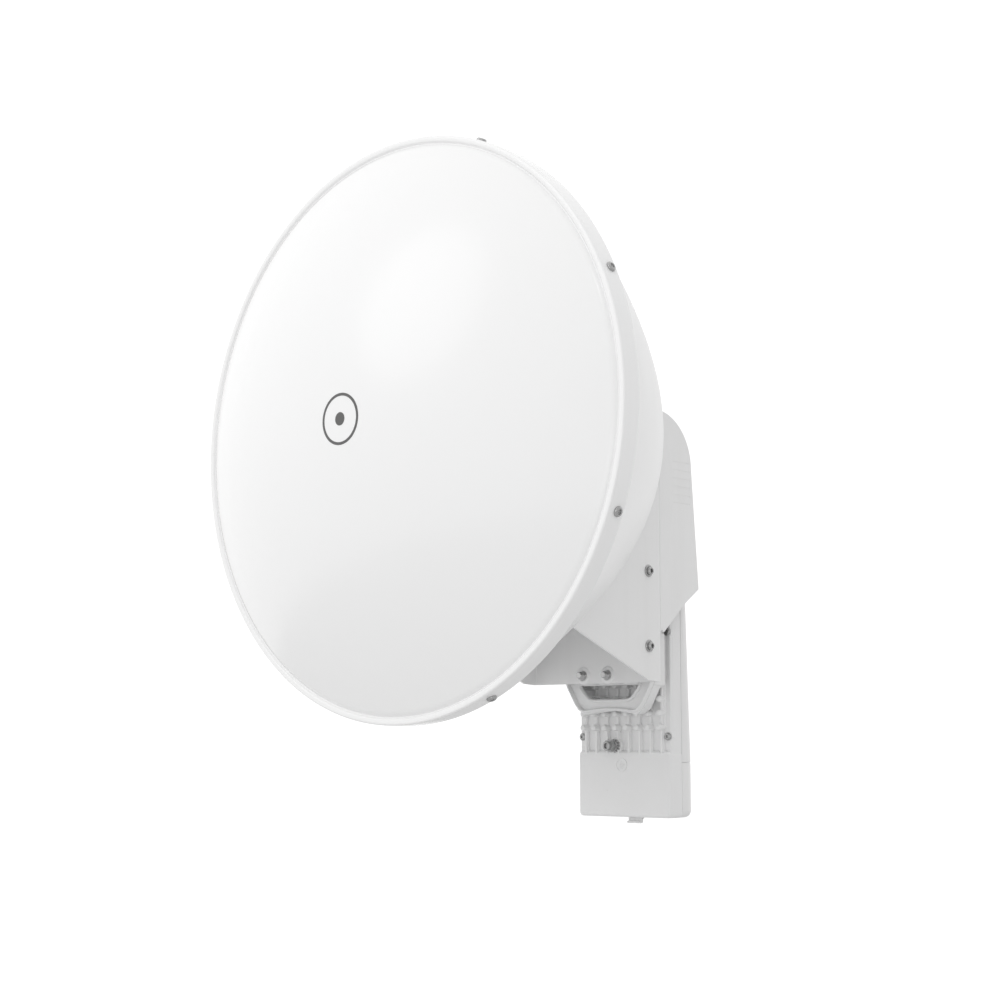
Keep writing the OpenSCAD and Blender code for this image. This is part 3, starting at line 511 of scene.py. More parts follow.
def piece(name, parts, finish, nodes, body=None, hides=True, crease=35, uv=None):
    """A mesh object from a list of (points, faces); it stands for the named CAD nodes."""
    counts = np.cumsum([0] + [len(points) for points, _ in parts])
    points = np.concatenate([points for points, _ in parts]) * MM + np.array(RIM)
    faces = [[index + start for index in face] for start, (_, faces) in zip(counts, parts) for face in faces]
    mesh = bpy.data.meshes.new(name)
    mesh.from_pydata(points, [], faces)
    if uv is not None:
        layer = mesh.uv_layers.new(name="UVMap")
        corners = np.empty(len(mesh.loops), dtype=np.int32)
        mesh.loops.foreach_get("vertex_index", corners)
        layer.data.foreach_set("uv", np.concatenate(uv)[corners].ravel())
    tidy_mesh(mesh)
    mesh.shade_smooth()
    mesh.set_sharp_from_angle(angle=math.radians(crease))
    mesh.materials.append(finish)
    thing = bpy.data.objects.new(name, mesh)
    bpy.context.scene.collection.objects.link(thing)
    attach(thing, body or BODY[nodes[0]])
    if hides:
        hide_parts(*nodes)
    mesh.calc_loop_triangles()
    print(name, len(mesh.loop_triangles), "triangles")
    return thing


def net(rows, columns, wrap=True):
    """Four-sided faces over a grid of rows by columns; the last column can join the first."""
    row, column = np.meshgrid(np.arange(rows - 1), np.arange(columns if wrap else columns - 1),
                              indexing="ij")
    beside = (column + 1) % columns
    quads = np.stack([row * columns + column, row * columns + beside,
                      (row + 1) * columns + beside, (row + 1) * columns + column], axis=-1)
    return quads.reshape(-1, 4).tolist()


print("nodes to dress:", len(BODY), "on bodies", sorted(set(BODY.values())))

# %% [markdown]
# Most hardware is turned. A profile is a list of (radius, height) rows, and each corner of it is
# rounded by a short curve, so every edge catches a highlight. A row's third number makes it
# six-sided from 0 to 1, and a fourth caps its radius, which gives a hexagon its chamfered tips.
# The Screw modifier also turns a profile, but it can't make the same profile six-sided.

# %% Turned shapes
def rounded(corners, reach, steps=4):
    """A polyline with each inner corner swapped for a quadratic curve: (1-t)^2 a + 2t(1-t) b + t^2 c."""
    corners = np.array([list(c) + [0.0, 1e9][len(c) - 2:] for c in corners], dtype=float)
    t = np.linspace(0, 1, steps + 1)[:, None]
    rows = [corners[:1]]
    for before, corner, after in zip(corners[:-2], corners[1:-1], corners[2:]):
        back, ahead = before[:2] - corner[:2], after[:2] - corner[:2]
        start = corner[:2] + back * min(0.45, reach / max(np.linalg.norm(back), 1e-9))
        end = corner[:2] + ahead * min(0.45, reach / max(np.linalg.norm(ahead), 1e-9))
        curve = (1 - t) ** 2 * start + 2 * t * (1 - t) * corner[:2] + t ** 2 * end
        rows.append(np.hstack([curve, np.repeat(corner[None, 2:], len(t), axis=0)]))
    rows.append(corners[-1:])
    return np.concatenate(rows)


def hexagon(turn):
    """Radius of a hexagon over its corner's radius: cos 30 over the cosine from the flat's middle."""
    return math.cos(math.pi / 6) / np.cos(np.mod(turn, math.pi / 3) - math.pi / 6)


def turned(rows, sides=48, ripple=None):
    """A solid of revolution round Z: radius(t) = min(cap, r (1 - k + k hexagon(t))), at height h."""
    rows = np.asarray(rows, dtype=float)
    if rows.shape[1] == 2:
        rows = np.hstack([rows, np.zeros((len(rows), 1)), np.full((len(rows), 1), 1e9)])
    turn = np.arange(sides) * 2 * math.pi / sides
    radius = rows[:, :1] * (1 - rows[:, 2:3] + rows[:, 2:3] * hexagon(turn)[None, :])
    radius = np.minimum(radius, rows[:, 3:4])
    height = np.repeat(rows[:, 1:2], sides, axis=1)
    if ripple is not None:
        radius, height = ripple(turn[None, :], radius, height)
    points = np.stack([radius * np.cos(turn), radius * np.sin(turn), height], axis=-1)
    return points.reshape(-1, 3), net(len(rows), sides)


TURNS = {"+y": np.array([[1, 0, 0], [0, 0, 1], [0, -1, 0]]),
         "-y": np.array([[1, 0, 0], [0, 0, -1], [0, 1, 0]]),
         "+x": np.array([[0, 0, 1], [0, 1, 0], [-1, 0, 0]]),
         "-x": np.array([[0, 0, -1], [0, 1, 0], [1, 0, 0]]),
         "+z": np.eye(3)}


def placed(shape, turn, *places):
    """Copies of a shape, its Z turned to the named axis or by a matrix, one at each place."""
    points, faces = shape
    matrix = TURNS[turn] if isinstance(turn, str) else turn
    return [(points @ matrix.T + np.array(place), faces) for place in places]


print("a hexagon's flats over its corners:", hexagon(np.array([math.pi / 6]))[0])

# %% [markdown]
# A thread is a rod whose radius follows a helix: the crest's place along the rod moves by one
# pitch for each turn. Sweeping a tooth along a helix would also do, but this way the thread is
# one closed grid with no start or end to join.

# %% Threads
def thread(radius, length, pitch, depth=0.35, sides=20, cut=0.8):
    """A threaded rod: r = radius - depth |2 frac(h/pitch - t/2pi) - 1|, with chamfered ends."""
    heights = np.arange(0, length, pitch / 5)
    rows = np.stack([np.full(len(heights), radius), heights], axis=1)
    rows = np.vstack([[[0, 0], [radius - cut, 0]], rows, [[radius - cut, length], [0, length]]])

    def helix(turn, r, h):
        crest = np.abs(2 * np.mod(h / pitch - turn / (2 * math.pi), 1) - 1)
        ends = np.minimum(radius - cut + np.minimum(h, length - h), radius)
        return np.where(r > radius - 1e-6, np.minimum(r - depth * crest, ends), r), h

    return turned(rows, sides, helix)


print("a 10 mm thread has", len(thread(3.0, 10.0, 1.0)[0]), "points")

# %% [markdown]
# Cast and moulded forms are blocks with soft edges. A block is a ball whose eight parts are pushed
# apart along X, Y and Z; a pad is a slab whose front edge is drawn in along a quarter circle. A
# cube with a Bevel looks the same, but as arrays many of them can share one mesh.

# %% Blocks and pads
def block(low, high, soft, steps=3):
    """A box with round edges: the box's core corner plus soft times a unit ball's point."""
    low, high = np.array(low, dtype=float), np.array(high, dtype=float)
    middle, core = (low + high) / 2, (high - low) / 2 - soft
    quarter = np.linspace(0, math.pi / 2, steps + 1)
    around = np.concatenate([quarter + k * math.pi / 2 for k in range(4)])
    side = np.repeat(np.arange(4) * math.pi / 2 + math.pi / 4, steps + 1)
    up = np.concatenate([quarter - math.pi / 2, quarter])
    level = np.repeat([-1.0, 1.0], steps + 1)
    ball = np.stack([np.cos(up)[:, None] * np.cos(around), np.cos(up)[:, None] * np.sin(around),
                     np.repeat(np.sin(up)[:, None], len(around), axis=1)], axis=-1)
    push = np.stack([np.sign(np.cos(side))[None, :] * np.ones((len(up), 1)),
                     np.sign(np.sin(side))[None, :] * np.ones((len(up), 1)),
                     np.repeat(level[:, None], len(around), axis=1)], axis=-1)
    points = (middle + push * core + ball * soft).reshape(-1, 3)
    columns = len(around)
    caps = [list(range(columns))[::-1], list(range(columns * (len(up) - 1), columns * len(up)))]
    return points, net(len(up), columns) + caps


def pad(low, high, corner, front, back, soft, steps=6):
    """A slab facing -Y: a rounded rectangle, drawn in by soft (1 - sin a) at depth soft (1 - cos a)."""
    turn = np.concatenate([np.linspace(k, k + 1, steps + 1) for k in range(4)]) * math.pi / 2
    middle = np.repeat((np.arange(4) + 0.5) * math.pi / 2, steps + 1)
    bend = np.linspace(0, math.pi / 2, steps + 1)
    draw = np.concatenate([soft * (1 - np.sin(bend)), [0.0, 0.25]])[:, None]
    depth = np.concatenate([front + soft * (1 - np.cos(bend)), [back - 0.25, back]])
    half = np.array([(high[0] - low[0]) / 2, (high[1] - low[1]) / 2]) - corner
    centre = (high[0] + low[0]) / 2, (high[1] + low[1]) / 2
    radius = corner - draw
    x = centre[0] + np.sign(np.cos(middle)) * half[0] + radius * np.cos(turn)
    z = centre[1] + np.sign(np.sin(middle)) * half[1] + radius * np.sin(turn)
    points = np.stack([x, np.broadcast_to(depth[:, None], x.shape), z], axis=-1).reshape(-1, 3)
    count = x.shape[1]
    caps = [list(range(count)), list(range(len(points) - count, len(points)))[::-1]]
    return points, net(len(depth), count) + caps


print("a block has", len(block((0, 0, 0), (9, 9, 9), 1)[0]), "points")

# %% [markdown]
# A cable is a circle carried along a path. A curve with a bevel depth would be quicker, but the
# braid on it needs a UV map in real lengths, so the tube works that out along with its points.

# %% Tubes
def tube(path, radius, sides=16):
    """A circle carried along a path, in a frame that turns as little as it can."""
    path = np.array(path, dtype=float)
    ahead = np.gradient(path, axis=0)
    ahead /= np.linalg.norm(ahead, axis=1)[:, None]
    flat = np.cross(ahead, [0.0, 1.0, 0.0])
    flat /= np.linalg.norm(flat, axis=1)[:, None]
    other = np.cross(ahead, flat)
    turn = np.arange(sides + 1) * 2 * math.pi / sides
    ring = flat[:, None] * np.cos(turn)[None, :, None] + other[:, None] * np.sin(turn)[None, :, None]
    points = path[:, None] + ring * np.broadcast_to(radius, (len(path),))[:, None, None]
    run = np.concatenate([[0], np.cumsum(np.linalg.norm(np.diff(path, axis=0), axis=1))]) * MM
    uv = np.stack(np.meshgrid(turn / (2 * math.pi), run), axis=-1).reshape(-1, 2)
    return points.reshape(-1, 3), net(len(path), sides + 1, wrap=False), uv


print("a straight tube has", len(tube([(0, 0, 0), (0, 0, 5), (0, 0, 9)], 1)[0]), "points")

# %% [markdown]
# Some CAD shapes are already right and only lack the small radius that every real edge has.
# Those are copied, their triangles are merged into whole faces, and a Bevel modifier rounds them.
# Making them again from formulas would only risk moving a bore or a slot.

# %% Softened copies of CAD nodes
def softened(node, width, finish, steps=3, flat=1.0):
    """A copy of a node's mesh, merged, with its sharp edges rounded to a width in millimetres."""
    mesh = frame["nodes"][node].data.copy()
    work = bmesh.new()
    work.from_mesh(mesh)
    bmesh.ops.remove_doubles(work, verts=work.verts, dist=1e-6)
    bmesh.ops.dissolve_limit(work, angle_limit=math.radians(flat), verts=work.verts, edges=work.edges)
    work.to_mesh(mesh)
    work.free()
    mesh.materials.clear()
    mesh.materials.append(finish)
    mesh.shade_smooth()
    mesh.set_sharp_from_angle(angle=math.radians(38))
    thing = bpy.data.objects.new(node + "_look", mesh)
    bpy.context.scene.collection.objects.link(thing)
    bevel = thing.modifiers.new("edges", "BEVEL")
    bevel.width, bevel.segments, bevel.limit_method = width * MM, steps, "ANGLE"
    bevel.angle_limit, bevel.harden_normals, bevel.use_clamp_overlap = math.radians(38), True, True
    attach(thing, BODY[node])
    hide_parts(node)
    print(thing.name, "edges rounded to", width, "mm")


# %% [markdown]
# ## The dish
# The radome is one turned shell: a shallow ball-shaped dome, a narrow groove where it meets the
# raised lip, and a skirt that wraps the reflector's rim. The profile runs out over the front, round
# the skirt's end, and back along the inside. That closes the shell without a Solidify modifier,
# which would swell the skirt past its size.

# %% Radome
R = DISH_R / MM
DOME_R, LIP_Y, RISE, WALL = R - 6.0, -2.0, (RIM.y - radome_low.y) / MM - 2.0, 2.5
BALL = (DOME_R ** 2 + RISE ** 2) / (2 * RISE)


def dome_height(r):
    """Height of the dome's ball at a radius: the ball's centre minus the root of R^2 - r^2."""
    return LIP_Y + (BALL - RISE) - np.sqrt(BALL ** 2 - np.square(r))


outer = np.linspace(0, DOME_R - 0.3, 70)
inner = np.linspace(DOME_R - 1.6, 0, 40)
lip = rounded([(DOME_R - 0.3, dome_height(DOME_R - 0.3)), (DOME_R + 0.3, LIP_Y + 0.9),
               (DOME_R + 1.3, LIP_Y + 0.9),
               (DOME_R + 2.2, LIP_Y - 0.5), (R - 0.1, LIP_Y - 0.5), (R, LIP_Y + 2.8), (R, 11.9),
               (R - 1.9, 11.9),
               (R - 2, 2), (DOME_R - 1, 2), (DOME_R - 1.6, dome_height(DOME_R - 1.6) + WALL)], 1.5, 6)[:, :2]
radome_rows = np.vstack([np.stack([outer, dome_height(outer)], axis=1), lip[1:-1],
                         np.stack([inner, dome_height(inner) + WALL], axis=1)])
piece("radome_shell", placed(turned(radome_rows, 256), "+y", (0, 0, 0)), RADOME, ["radome"], crease=40)

# %% [markdown]
# The reflector is a spun bowl that follows a parabola, from the rim's rolled flange to its flat
# hub. Such bowls are commonly spun over a former, so turning a profile is the natural way.
# The screws round the rim go through the skirt into that flange.

# %% Reflector and rim screws
bowl_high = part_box("reflector")[1]
FLANGE_R, BOWL_R, HUB_R, SHEET = R - 2.1, R - 3.5, 41.0, 1.6
HUB_Y = (bowl_high.y - RIM.y) / MM
BOWL_DEPTH = (HUB_Y - 12) / (1 - (HUB_R / BOWL_R) ** 2)


def bowl_height(r):
    """Height of the bowl's outer face: rim plus depth times 1 - (r / bowl radius)^2."""
    return 12 + BOWL_DEPTH * (1 - np.square(r / BOWL_R))


def bowl_inside(r):
    """The inner face, one sheet's thickness inside the outer one along its normal."""
    return bowl_height(r) - SHEET * np.sqrt(1 + np.square(2 * BOWL_DEPTH * r / BOWL_R ** 2))


out_r = np.linspace(BOWL_R, HUB_R + 1.5, 64)
in_r = np.linspace(HUB_R + 1, BOWL_R - 1.2, 64)
flange = rounded([(FLANGE_R - 2.9, 5.0), (FLANGE_R - 2.9, 4.0), (FLANGE_R, 4.0), (FLANGE_R, 12.0),
                  (BOWL_R, 12.0), (BOWL_R - 0.4, bowl_height(BOWL_R - 0.4))], 0.8)[:, :2]
hub = rounded([(HUB_R + 1.5, bowl_height(HUB_R + 1.5)), (HUB_R, HUB_Y), (16.5, HUB_Y), (16.5, HUB_Y - SHEET),
               (HUB_R - 1, HUB_Y - SHEET), (HUB_R + 1, bowl_inside(HUB_R + 1))], 1.2)[:, :2]
bowl_rows = np.vstack([flange[:-1], np.stack([out_r, bowl_height(out_r)], axis=1)[1:-1], hub,
                       np.stack([in_r, bowl_inside(in_r)], axis=1)[1:], flange[:1]])
piece("reflector_bowl", placed(turned(bowl_rows, 192), "+y", (0, 0, 0)), BOWL_PAINT, ["reflector"],
      crease=50)

socket_head = turned(rounded([(0, -6.4), (1.35, -6.4), (1.35, 0), (3.3, 0), (3.3, 1.1), (2.4, 1.9),
                              (1.7, 1.9, 1), (1.5, 0.8, 1), (0, 0.8)], 0.35), 36)
FIRST_SCREW, SCREW_COUNT, SCREW_Y = 24, 8, 6
rim_heads = []
for turn in np.radians(FIRST_SCREW + 360 / SCREW_COUNT * np.arange(SCREW_COUNT)):
    out = np.array([math.cos(turn), 0, math.sin(turn)])
    along = np.array([-math.sin(turn), 0, math.cos(turn)])
    axes = np.stack([along, np.cross(out, along), out], axis=1)
    rim_heads += placed(socket_head, axes, out * (R - 0.1) + [0, SCREW_Y, 0])
piece("rim_screws", rim_heads, BRIGHT, ["radome_screws"])

# %% [markdown]
# A small plain mark, a ring with a dot inside it, sits at the dome's middle. It is printed: it
# follows the dome and stands a tenth of a millimetre proud of it. It could be part of the radome's
# material, but as a thin mesh its edge stays sharp from near by.

# %% Printed mark on the dome
def print_ring(inner_r, outer_r, proud=0.12, sides=72):
    """A flat ring laid on the dome: each point takes the dome's height minus the ink's thickness."""
    radii = np.linspace(inner_r, outer_r, 5)
    front = np.stack([radii, dome_height(radii) - proud], axis=1)
    back = [[r, dome_height(r) + 0.3] for r in (outer_r, inner_r)]
    return turned(np.vstack([front, back, front[:1]]), sides)


mark = placed(print_ring(14.6, 16.4), "+y", (0, 0, 0)) + placed(print_ring(0.0, 4.2), "+y", (0, 0, 0))
piece("dome_mark", mark, INK, ["radome"], hides=False)

# %% [markdown]
# Behind the radome, hidden unless it is taken off, are the feed's round tube, the cream plastic
# that holds its tip, and the small reflector that throws the signal back into the bowl. All three
# are lathe work, so each is one turned profile.

# %% Feed
tip_low, tip_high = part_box("subreflector")
TUBE_FRONT = 118.8
TIP_R, TUBE_R = (tip_high.x - tip_low.x) / MM / 2, 15.5
tube_rows = rounded([(TUBE_R - 2, TUBE_FRONT + 1), (TUBE_R - 2, TUBE_FRONT), (TUBE_R, TUBE_FRONT),
                     (TUBE_R, 197.3), (TUBE_R - 2, 197.3), (TUBE_R - 2, TUBE_FRONT + 1)], 0.3)
piece("feed_waveguide", placed(turned(tube_rows, 64), "+y", (0, 0, 0)), ALUMINIUM, ["feed_tube"])
cone_rows = rounded([(0, TUBE_FRONT - 19.9), (TIP_R - 3, TUBE_FRONT - 19.9), (TIP_R - 4, TUBE_FRONT - 16),
                     (17, TUBE_FRONT - 2), (17, TUBE_FRONT - 0.05), (13.4, TUBE_FRONT - 0.05),
                     (13.4, TUBE_FRONT + 12), (10.5, TUBE_FRONT + 14), (0, TUBE_FRONT + 14)], 0.6)
piece("feed_tip_support", placed(turned(cone_rows, 64), "+y", (0, 0, 0)), CREAM, ["feed_support"])
plate_rows = rounded([(0, TUBE_FRONT - 23), (TIP_R, TUBE_FRONT - 23), (TIP_R, TUBE_FRONT - 20),
                      (0, TUBE_FRONT - 20)], 0.6)
piece("feed_tip_plate", placed(turned(plate_rows, 64), "+y", (0, 0, 0)), ALUMINIUM, ["subreflector"])

# %% [markdown]
# ## The channel
# The channel's web and side panels, and the wings behind them, are bent sheet, so they keep their
# CAD shapes with soft edges. So does the cast mount behind them, and it carries raised beads round
# its windows and its edge.

# %% Channel, wings and mount
for node, width, finish in (("hub_channel", 0.3, PAINT), ("rear_wings", 0.3, PAINT),
                            ("radio_mount", 0.7, CAST)):
    softened(node, width, finish)

# %% [markdown]
# A bead is half a circle carried along a closed path. Modelling it as part of the mount would mean
# cutting the mount's faces; laid on as its own mesh it only has to touch them.

# %% Beads on the mount
PLATE_FRONT = 209.85


def round_path(corners, reach, steps=8):
    """A closed polygon in X and Z with its corners rounded by quadratic curves."""
    corners = np.array(corners, dtype=float)
    t = np.linspace(0, 1, steps)[:, None]
    before, after = np.roll(corners, 1, axis=0), np.roll(corners, -1, axis=0)
    curves = []
    for a, b, c in zip(before, corners, after):
        start = b + (a - b) * min(0.45, reach / np.linalg.norm(a - b))
        end = b + (c - b) * min(0.45, reach / np.linalg.norm(c - b))
        curves.append((1 - t) ** 2 * start + 2 * t * (1 - t) * b + t ** 2 * end)
    return np.concatenate(curves)


def bead(corners, width, height, reach, sides=10):
    """A raised half-round bead along a closed path: half-width cos a across, height sin a forward."""
    path = round_path(corners, reach)
    ahead = np.roll(path, -1, axis=0) - np.roll(path, 1, axis=0)
    ahead /= np.linalg.norm(ahead, axis=1)[:, None]
    across = np.stack([-ahead[:, 1], ahead[:, 0]], axis=1)
    turn = np.arange(sides) * 2 * math.pi / sides
    flat = path[:, None] + across[:, None] * (width * np.cos(turn))[None, :, None]
    y = np.broadcast_to(PLATE_FRONT - height * np.sin(turn), flat.shape[:2])
    points = np.stack([flat[..., 0], y, flat[..., 1]], axis=-1)
    faces = net(len(path) + 1, sides)
    return points.reshape(-1, 3), [[index % (len(path) * sides) for index in face] for face in faces]


low_window = [(-30, -157.5), (30, -157.5), (20.6, -168.4), (16, -169.8), (-16, -169.8), (-20.6, -168.4)]
big_window = [(-27, -77), (27, -77), (27, -138.4), (20.4, -145), (-20.4, -145), (-27, -138.4)]
edge = [(-39, -54), (-31.6, -45.5), (31.6, -45.5), (39, -54), (39, -157.4), (29.2, -173.6), (23.6, -177.6),
        (12, -176),
        (0, -175.6), (-12, -176), (-23.6, -177.6), (-29.2, -173.6), (-39, -157.4)]
beads = [bead(low_window, 1.2, 2.2, 6), bead(big_window, 1.2, 2.2, 6), bead(edge, 1.3, 3.2, 4)]
beads += [block((s * 39.5 - 1.4, 210.5, -160), (s * 39.5 + 1.4, 221.3, -123), 1.3) for s in (-1, 1)]
piece("mount_beads", beads, CAST, ["radio_mount"], hides=False, crease=60)

# %% [markdown]
# The bolts through the web end in shallow round dimples that were pressed into the sheet, and the
# side panel's bolts sit in round pressed seats. They are shallow turned rings laid on the sheet,
# because a dent pressed into a bevelled CAD mesh would spoil its flat faces.

# %% Dimples and seats
WEB_T = 2
WEB_Y = (channel_high.y - RIM.y) / MM - WEB_T
SIDE_X = (channel_high.x - RIM.x) / MM
SIDE_BOLTS = [(181.8, -83.0), (181.8, -134.2)]
WEB_BOLTS = [(x, z) for z in (-152.2, -60.0) for x in (-11.2, 11.2)]

dimple = turned(rounded([(6.2, 0.0), (5.0, 0.9), (3.8, 1.0), (3.4, 0.1), (2.2, 0.1), (2.2, -0.4),
                         (6.2, -0.3), (6.2, 0.0)], 0.8), 40)
WEB_PLACES = [(x, WEB_Y, z) for x, z in WEB_BOLTS]
SIDE_PLACES = [(SIDE_X, y, z) for y, z in SIDE_BOLTS]
piece("web_dimples", placed(dimple, "-y", *WEB_PLACES), PAINT, ["hub_channel"], hides=False)
seat = turned(rounded([(5.4, 0.0), (4.9, 0.3), (4.5, 0.3), (4.2, 0.05), (3.5, 0.05), (3.5, -0.4),
                       (5.4, -0.3), (5.4, 0.0)], 0.4), 48)
piece("side_seats", placed(seat, "+x", *SIDE_PLACES), PAINT, ["hub_channel"], hides=False)

# %% [markdown]
# The web bolts show a chamfered, threaded end on a low collar. The side bolts have low button
# heads with a hexagon socket on a washer, and each carries a nut on the inside. The same thread
# and turned profiles serve both.

# %% Web bolts and side bolts
collar = turned(rounded([(0, 0), (3.2, 0), (3.2, 0.4), (2.8, 0.8), (0, 0.8)], 0.2), 40)
stud = thread(2.4, 5.4, 0.8, 0.35, 28, 0.5)
web_parts = placed(collar, "-y", *WEB_PLACES) + placed(stud, "-y", *WEB_PLACES)
web_parts += placed(turned(rounded([(0, -1), (2.5, -1), (2.5, 22), (0, 22)], 0.4), 24), "+y", *WEB_PLACES)
piece("web_bolts", web_parts, BRIGHT, ["mount_bolts"])

button = turned(rounded([(0, 0.2), (2.7, 0.2), (2.7, 2.4), (2.2, 3.0), (1.8, 3.0, 1), (1.5, 3.0, 1),
                         (1.5, 1.0, 1), (0, 1.0)], 0.3, 4), 48)
washer = turned(rounded([(0, 0), (4.0, 0), (4.0, 0.7), (3.6, 1.2), (2.9, 0.9), (0, 0.4)], 0.35), 48)
shank = turned(rounded([(0, -10), (3, -10), (3, 0), (0, 0)], 0.4), 32)
inside_nut = turned(rounded([(0, -7), (5.4, -7, 1, 5.1), (5.4, -6.4, 1, 5.4), (5.4, -2.4, 1, 5.4),
                             (5.4, -2, 1, 5.1), (0, -2, 1)], 0.2), 48)
side_parts = []
for shape in (washer, button, shank, inside_nut):
    side_parts += placed(shape, "+x", *SIDE_PLACES)
piece("side_bolts_look", side_parts, BRIGHT, ["side_bolts"])

# %% [markdown]
# ## The radio unit
# The radio's front half is one die casting. Its upper part is a field of tapered pins, joined
# down each column by a rib, with screw lugs at the edges; its lower part is a smooth block. The
# pins repeat more than a hundred times, so each is turned with only a few faces. They could be an
# Array modifier, but the lugs push some of them out of the grid.

# %% Sizes of the casting
SINK_DEPTH, BLOCK_PROUD, BLOCK_HEIGHT, FOOT_DROP, EDGE_TO_LUG = 10, 4, 45, 1.5, 2.6
SEAM_Y = (sink_high.y - RIM.y) / MM
SINK_Y = SEAM_Y - SINK_DEPTH
TIP_Y = (sink_low.y - RIM.y) / MM
HALF = (sink_high.x - sink_low.x) / MM / 2
TOP_Z, CAD_FOOT = (sink_high.z - RIM.z) / MM, (sink_low.z - RIM.z) / MM
BLOCK_TOP, FACE_Y, PITCH = CAD_FOOT + BLOCK_HEIGHT, SINK_Y - BLOCK_PROUD, 9.9
FOOT_Z = CAD_FOOT - FOOT_DROP
COLUMNS = (np.arange(8) - 3.5) * PITCH
LUG_X, LUG_Z, PIN_FOOT = HALF - EDGE_TO_LUG, np.array([-195.0, -122.0, -49.0]), -188.6
ROWS = PIN_FOOT + PITCH * np.arange(int((TOP_Z - 14 - PIN_FOOT) // PITCH) + 1)
REACH, LUG_CLEAR = SINK_Y - TIP_Y, 6.1
print("pin grid", len(COLUMNS), "by", len(ROWS), "reaching", REACH, "mm")

# %% Pins, body, ribs and lugs
pin = turned(np.array([(3.0, -0.3), (2.5, 1.0), (2.25, REACH - 1.6), (2.0, REACH - 0.6), (1.2, REACH - 0.05),
                       (0.0, REACH)]), 12)
across, up = np.meshgrid(COLUMNS, ROWS)
spots = np.stack([across.ravel(), up.ravel()], axis=1)
gap = np.hypot(np.abs(spots[:, :1]) - LUG_X, spots[:, 1:] - LUG_Z[None, :]).min(axis=1)
spots = spots[gap > LUG_CLEAR]
pins = placed(pin, "-y", *[(x, SINK_Y, z) for x, z in spots])

body = [pad((0.15 - HALF, BLOCK_TOP - 4), (HALF - 0.15, TOP_Z), 3.0, SINK_Y, SEAM_Y - 0.04, 1.2),
        pad((-HALF, FOOT_Z), (HALF, BLOCK_TOP), 3.0, FACE_Y, SEAM_Y - 0.02, 2.2),
        pad((4.5 - HALF, BLOCK_TOP + 15), (HALF - 4.5, TOP_Z - 8), 3.0, SINK_Y - 2.4, SINK_Y + 2, 1.5),
        pad((0.4 - HALF, BLOCK_TOP - 4), (HALF - 0.4, TOP_Z - 4), 3.0, SINK_Y - 1.4, SINK_Y + 2, 0.9)]
ribs = []
for x in COLUMNS:
    ribs.append(block((x - 1.5, FACE_Y + 0.5, BLOCK_TOP - 3), (x + 1.5, SINK_Y + 1, BLOCK_TOP + 14), 1.2, 3))
    ribs.append(block((x - 1.1, SINK_Y - 4.4, BLOCK_TOP - 2), (x + 1.1, SINK_Y + 1, TOP_Z - 7), 0.8, 2))
LUG_Y = SINK_Y - 1.5
lug = turned(rounded([(0, -1), (3.6, -1), (3.35, SINK_Y - LUG_Y), (0, SINK_Y - LUG_Y)], 0.5), 28)
LUGS = [(s * LUG_X, z) for s in (-1, 1) for z in LUG_Z]
lugs = placed(lug, "-y", *[(x, SINK_Y, z) for x, z in LUGS])
GROUND = (-7.5, CAD_FOOT + 48.5)
boss = turned(rounded([(0, -1), (6.3, -1), (6, BLOCK_PROUD), (0, BLOCK_PROUD)], 0.5), 36)
ground_boss = placed(boss, "-y", (GROUND[0], SINK_Y, GROUND[1]))
piece("radio_casting", body + ribs + pins + lugs + ground_boss, CAST, ["heat_sink"])

# %% [markdown]
# The block carries the earth sign, cast as a raised line: a circle with a stem and three bars.
# It tells the installer where the earthing stud is. A bump could fake it, but a cast line has an
# edge that shows from the side, so it is a mesh.

# %% Earth sign
def bar(x0, x1, z0, z1):
    """A thin raised bar on the block's face."""
    return block((x0, FACE_Y - 0.5, z0), (x1, FACE_Y + 0.3, z1), 0.12, 2)


SIGN = np.array([-1.5, FACE_Y, -215.0])
circle = turned(rounded([(4.4, -0.2), (4.4, 0.45), (5.0, 0.45), (5.0, -0.2), (4.4, -0.2)], 0.1, 2), 64)
sign_parts = placed(circle, "-y", SIGN)
sign_parts += [bar(SIGN[0] - 0.25, SIGN[0] + 0.25, SIGN[2], SIGN[2] + 2.9)]
sign_parts += [bar(SIGN[0] - w, SIGN[0] + w, SIGN[2] - d - 0.25, SIGN[2] - d + 0.25)
               for w, d in ((2.6, 0.0), (1.7, 1.3), (0.8, 2.6))]
piece("earth_sign", sign_parts, CAST, ["heat_sink"], hides=False)

# %% [markdown]
# The screws in the lugs are small socket heads. The earthing stud is a threaded rod with a
# hexagon and a star washer whose teeth are twisted out of its plane. The teeth are a ripple added
# to a turned ring, which is shorter than modelling one tooth and repeating it.

# %% Corner screws and earthing stud
lug_head = turned(rounded([(0, 0.2), (2.75, 0.2), (2.7, 1.1), (2.0, 1.75), (1.3, 1.8, 0), (1.15, 1.8, 1),
                           (1.1, 0.8, 1), (0, 0.8)], 0.4), 36)
lug_shank = turned(rounded([(0, -19), (1.5, -19), (1.5, 0.5), (0, 0.5)], 0.3), 20)
LUG_PLACES = [(x, LUG_Y, z) for x, z in LUGS]
piece("lug_screws", placed(lug_head, "-y", *LUG_PLACES) + placed(lug_shank, "-y", *LUG_PLACES), STEEL,
      ["corner_screws"])


def star(turn, radius, height):
    """A toothed washer: beyond the ring, radius + 0.4 sign(cos 12t), and height + 0.3 sin 12t."""
    tooth = np.clip((radius - 3.6) / 1.0, 0, 1)
    return radius + tooth * 0.4 * np.sign(np.cos(12 * turn)), height + tooth * 0.3 * np.sin(12 * turn)


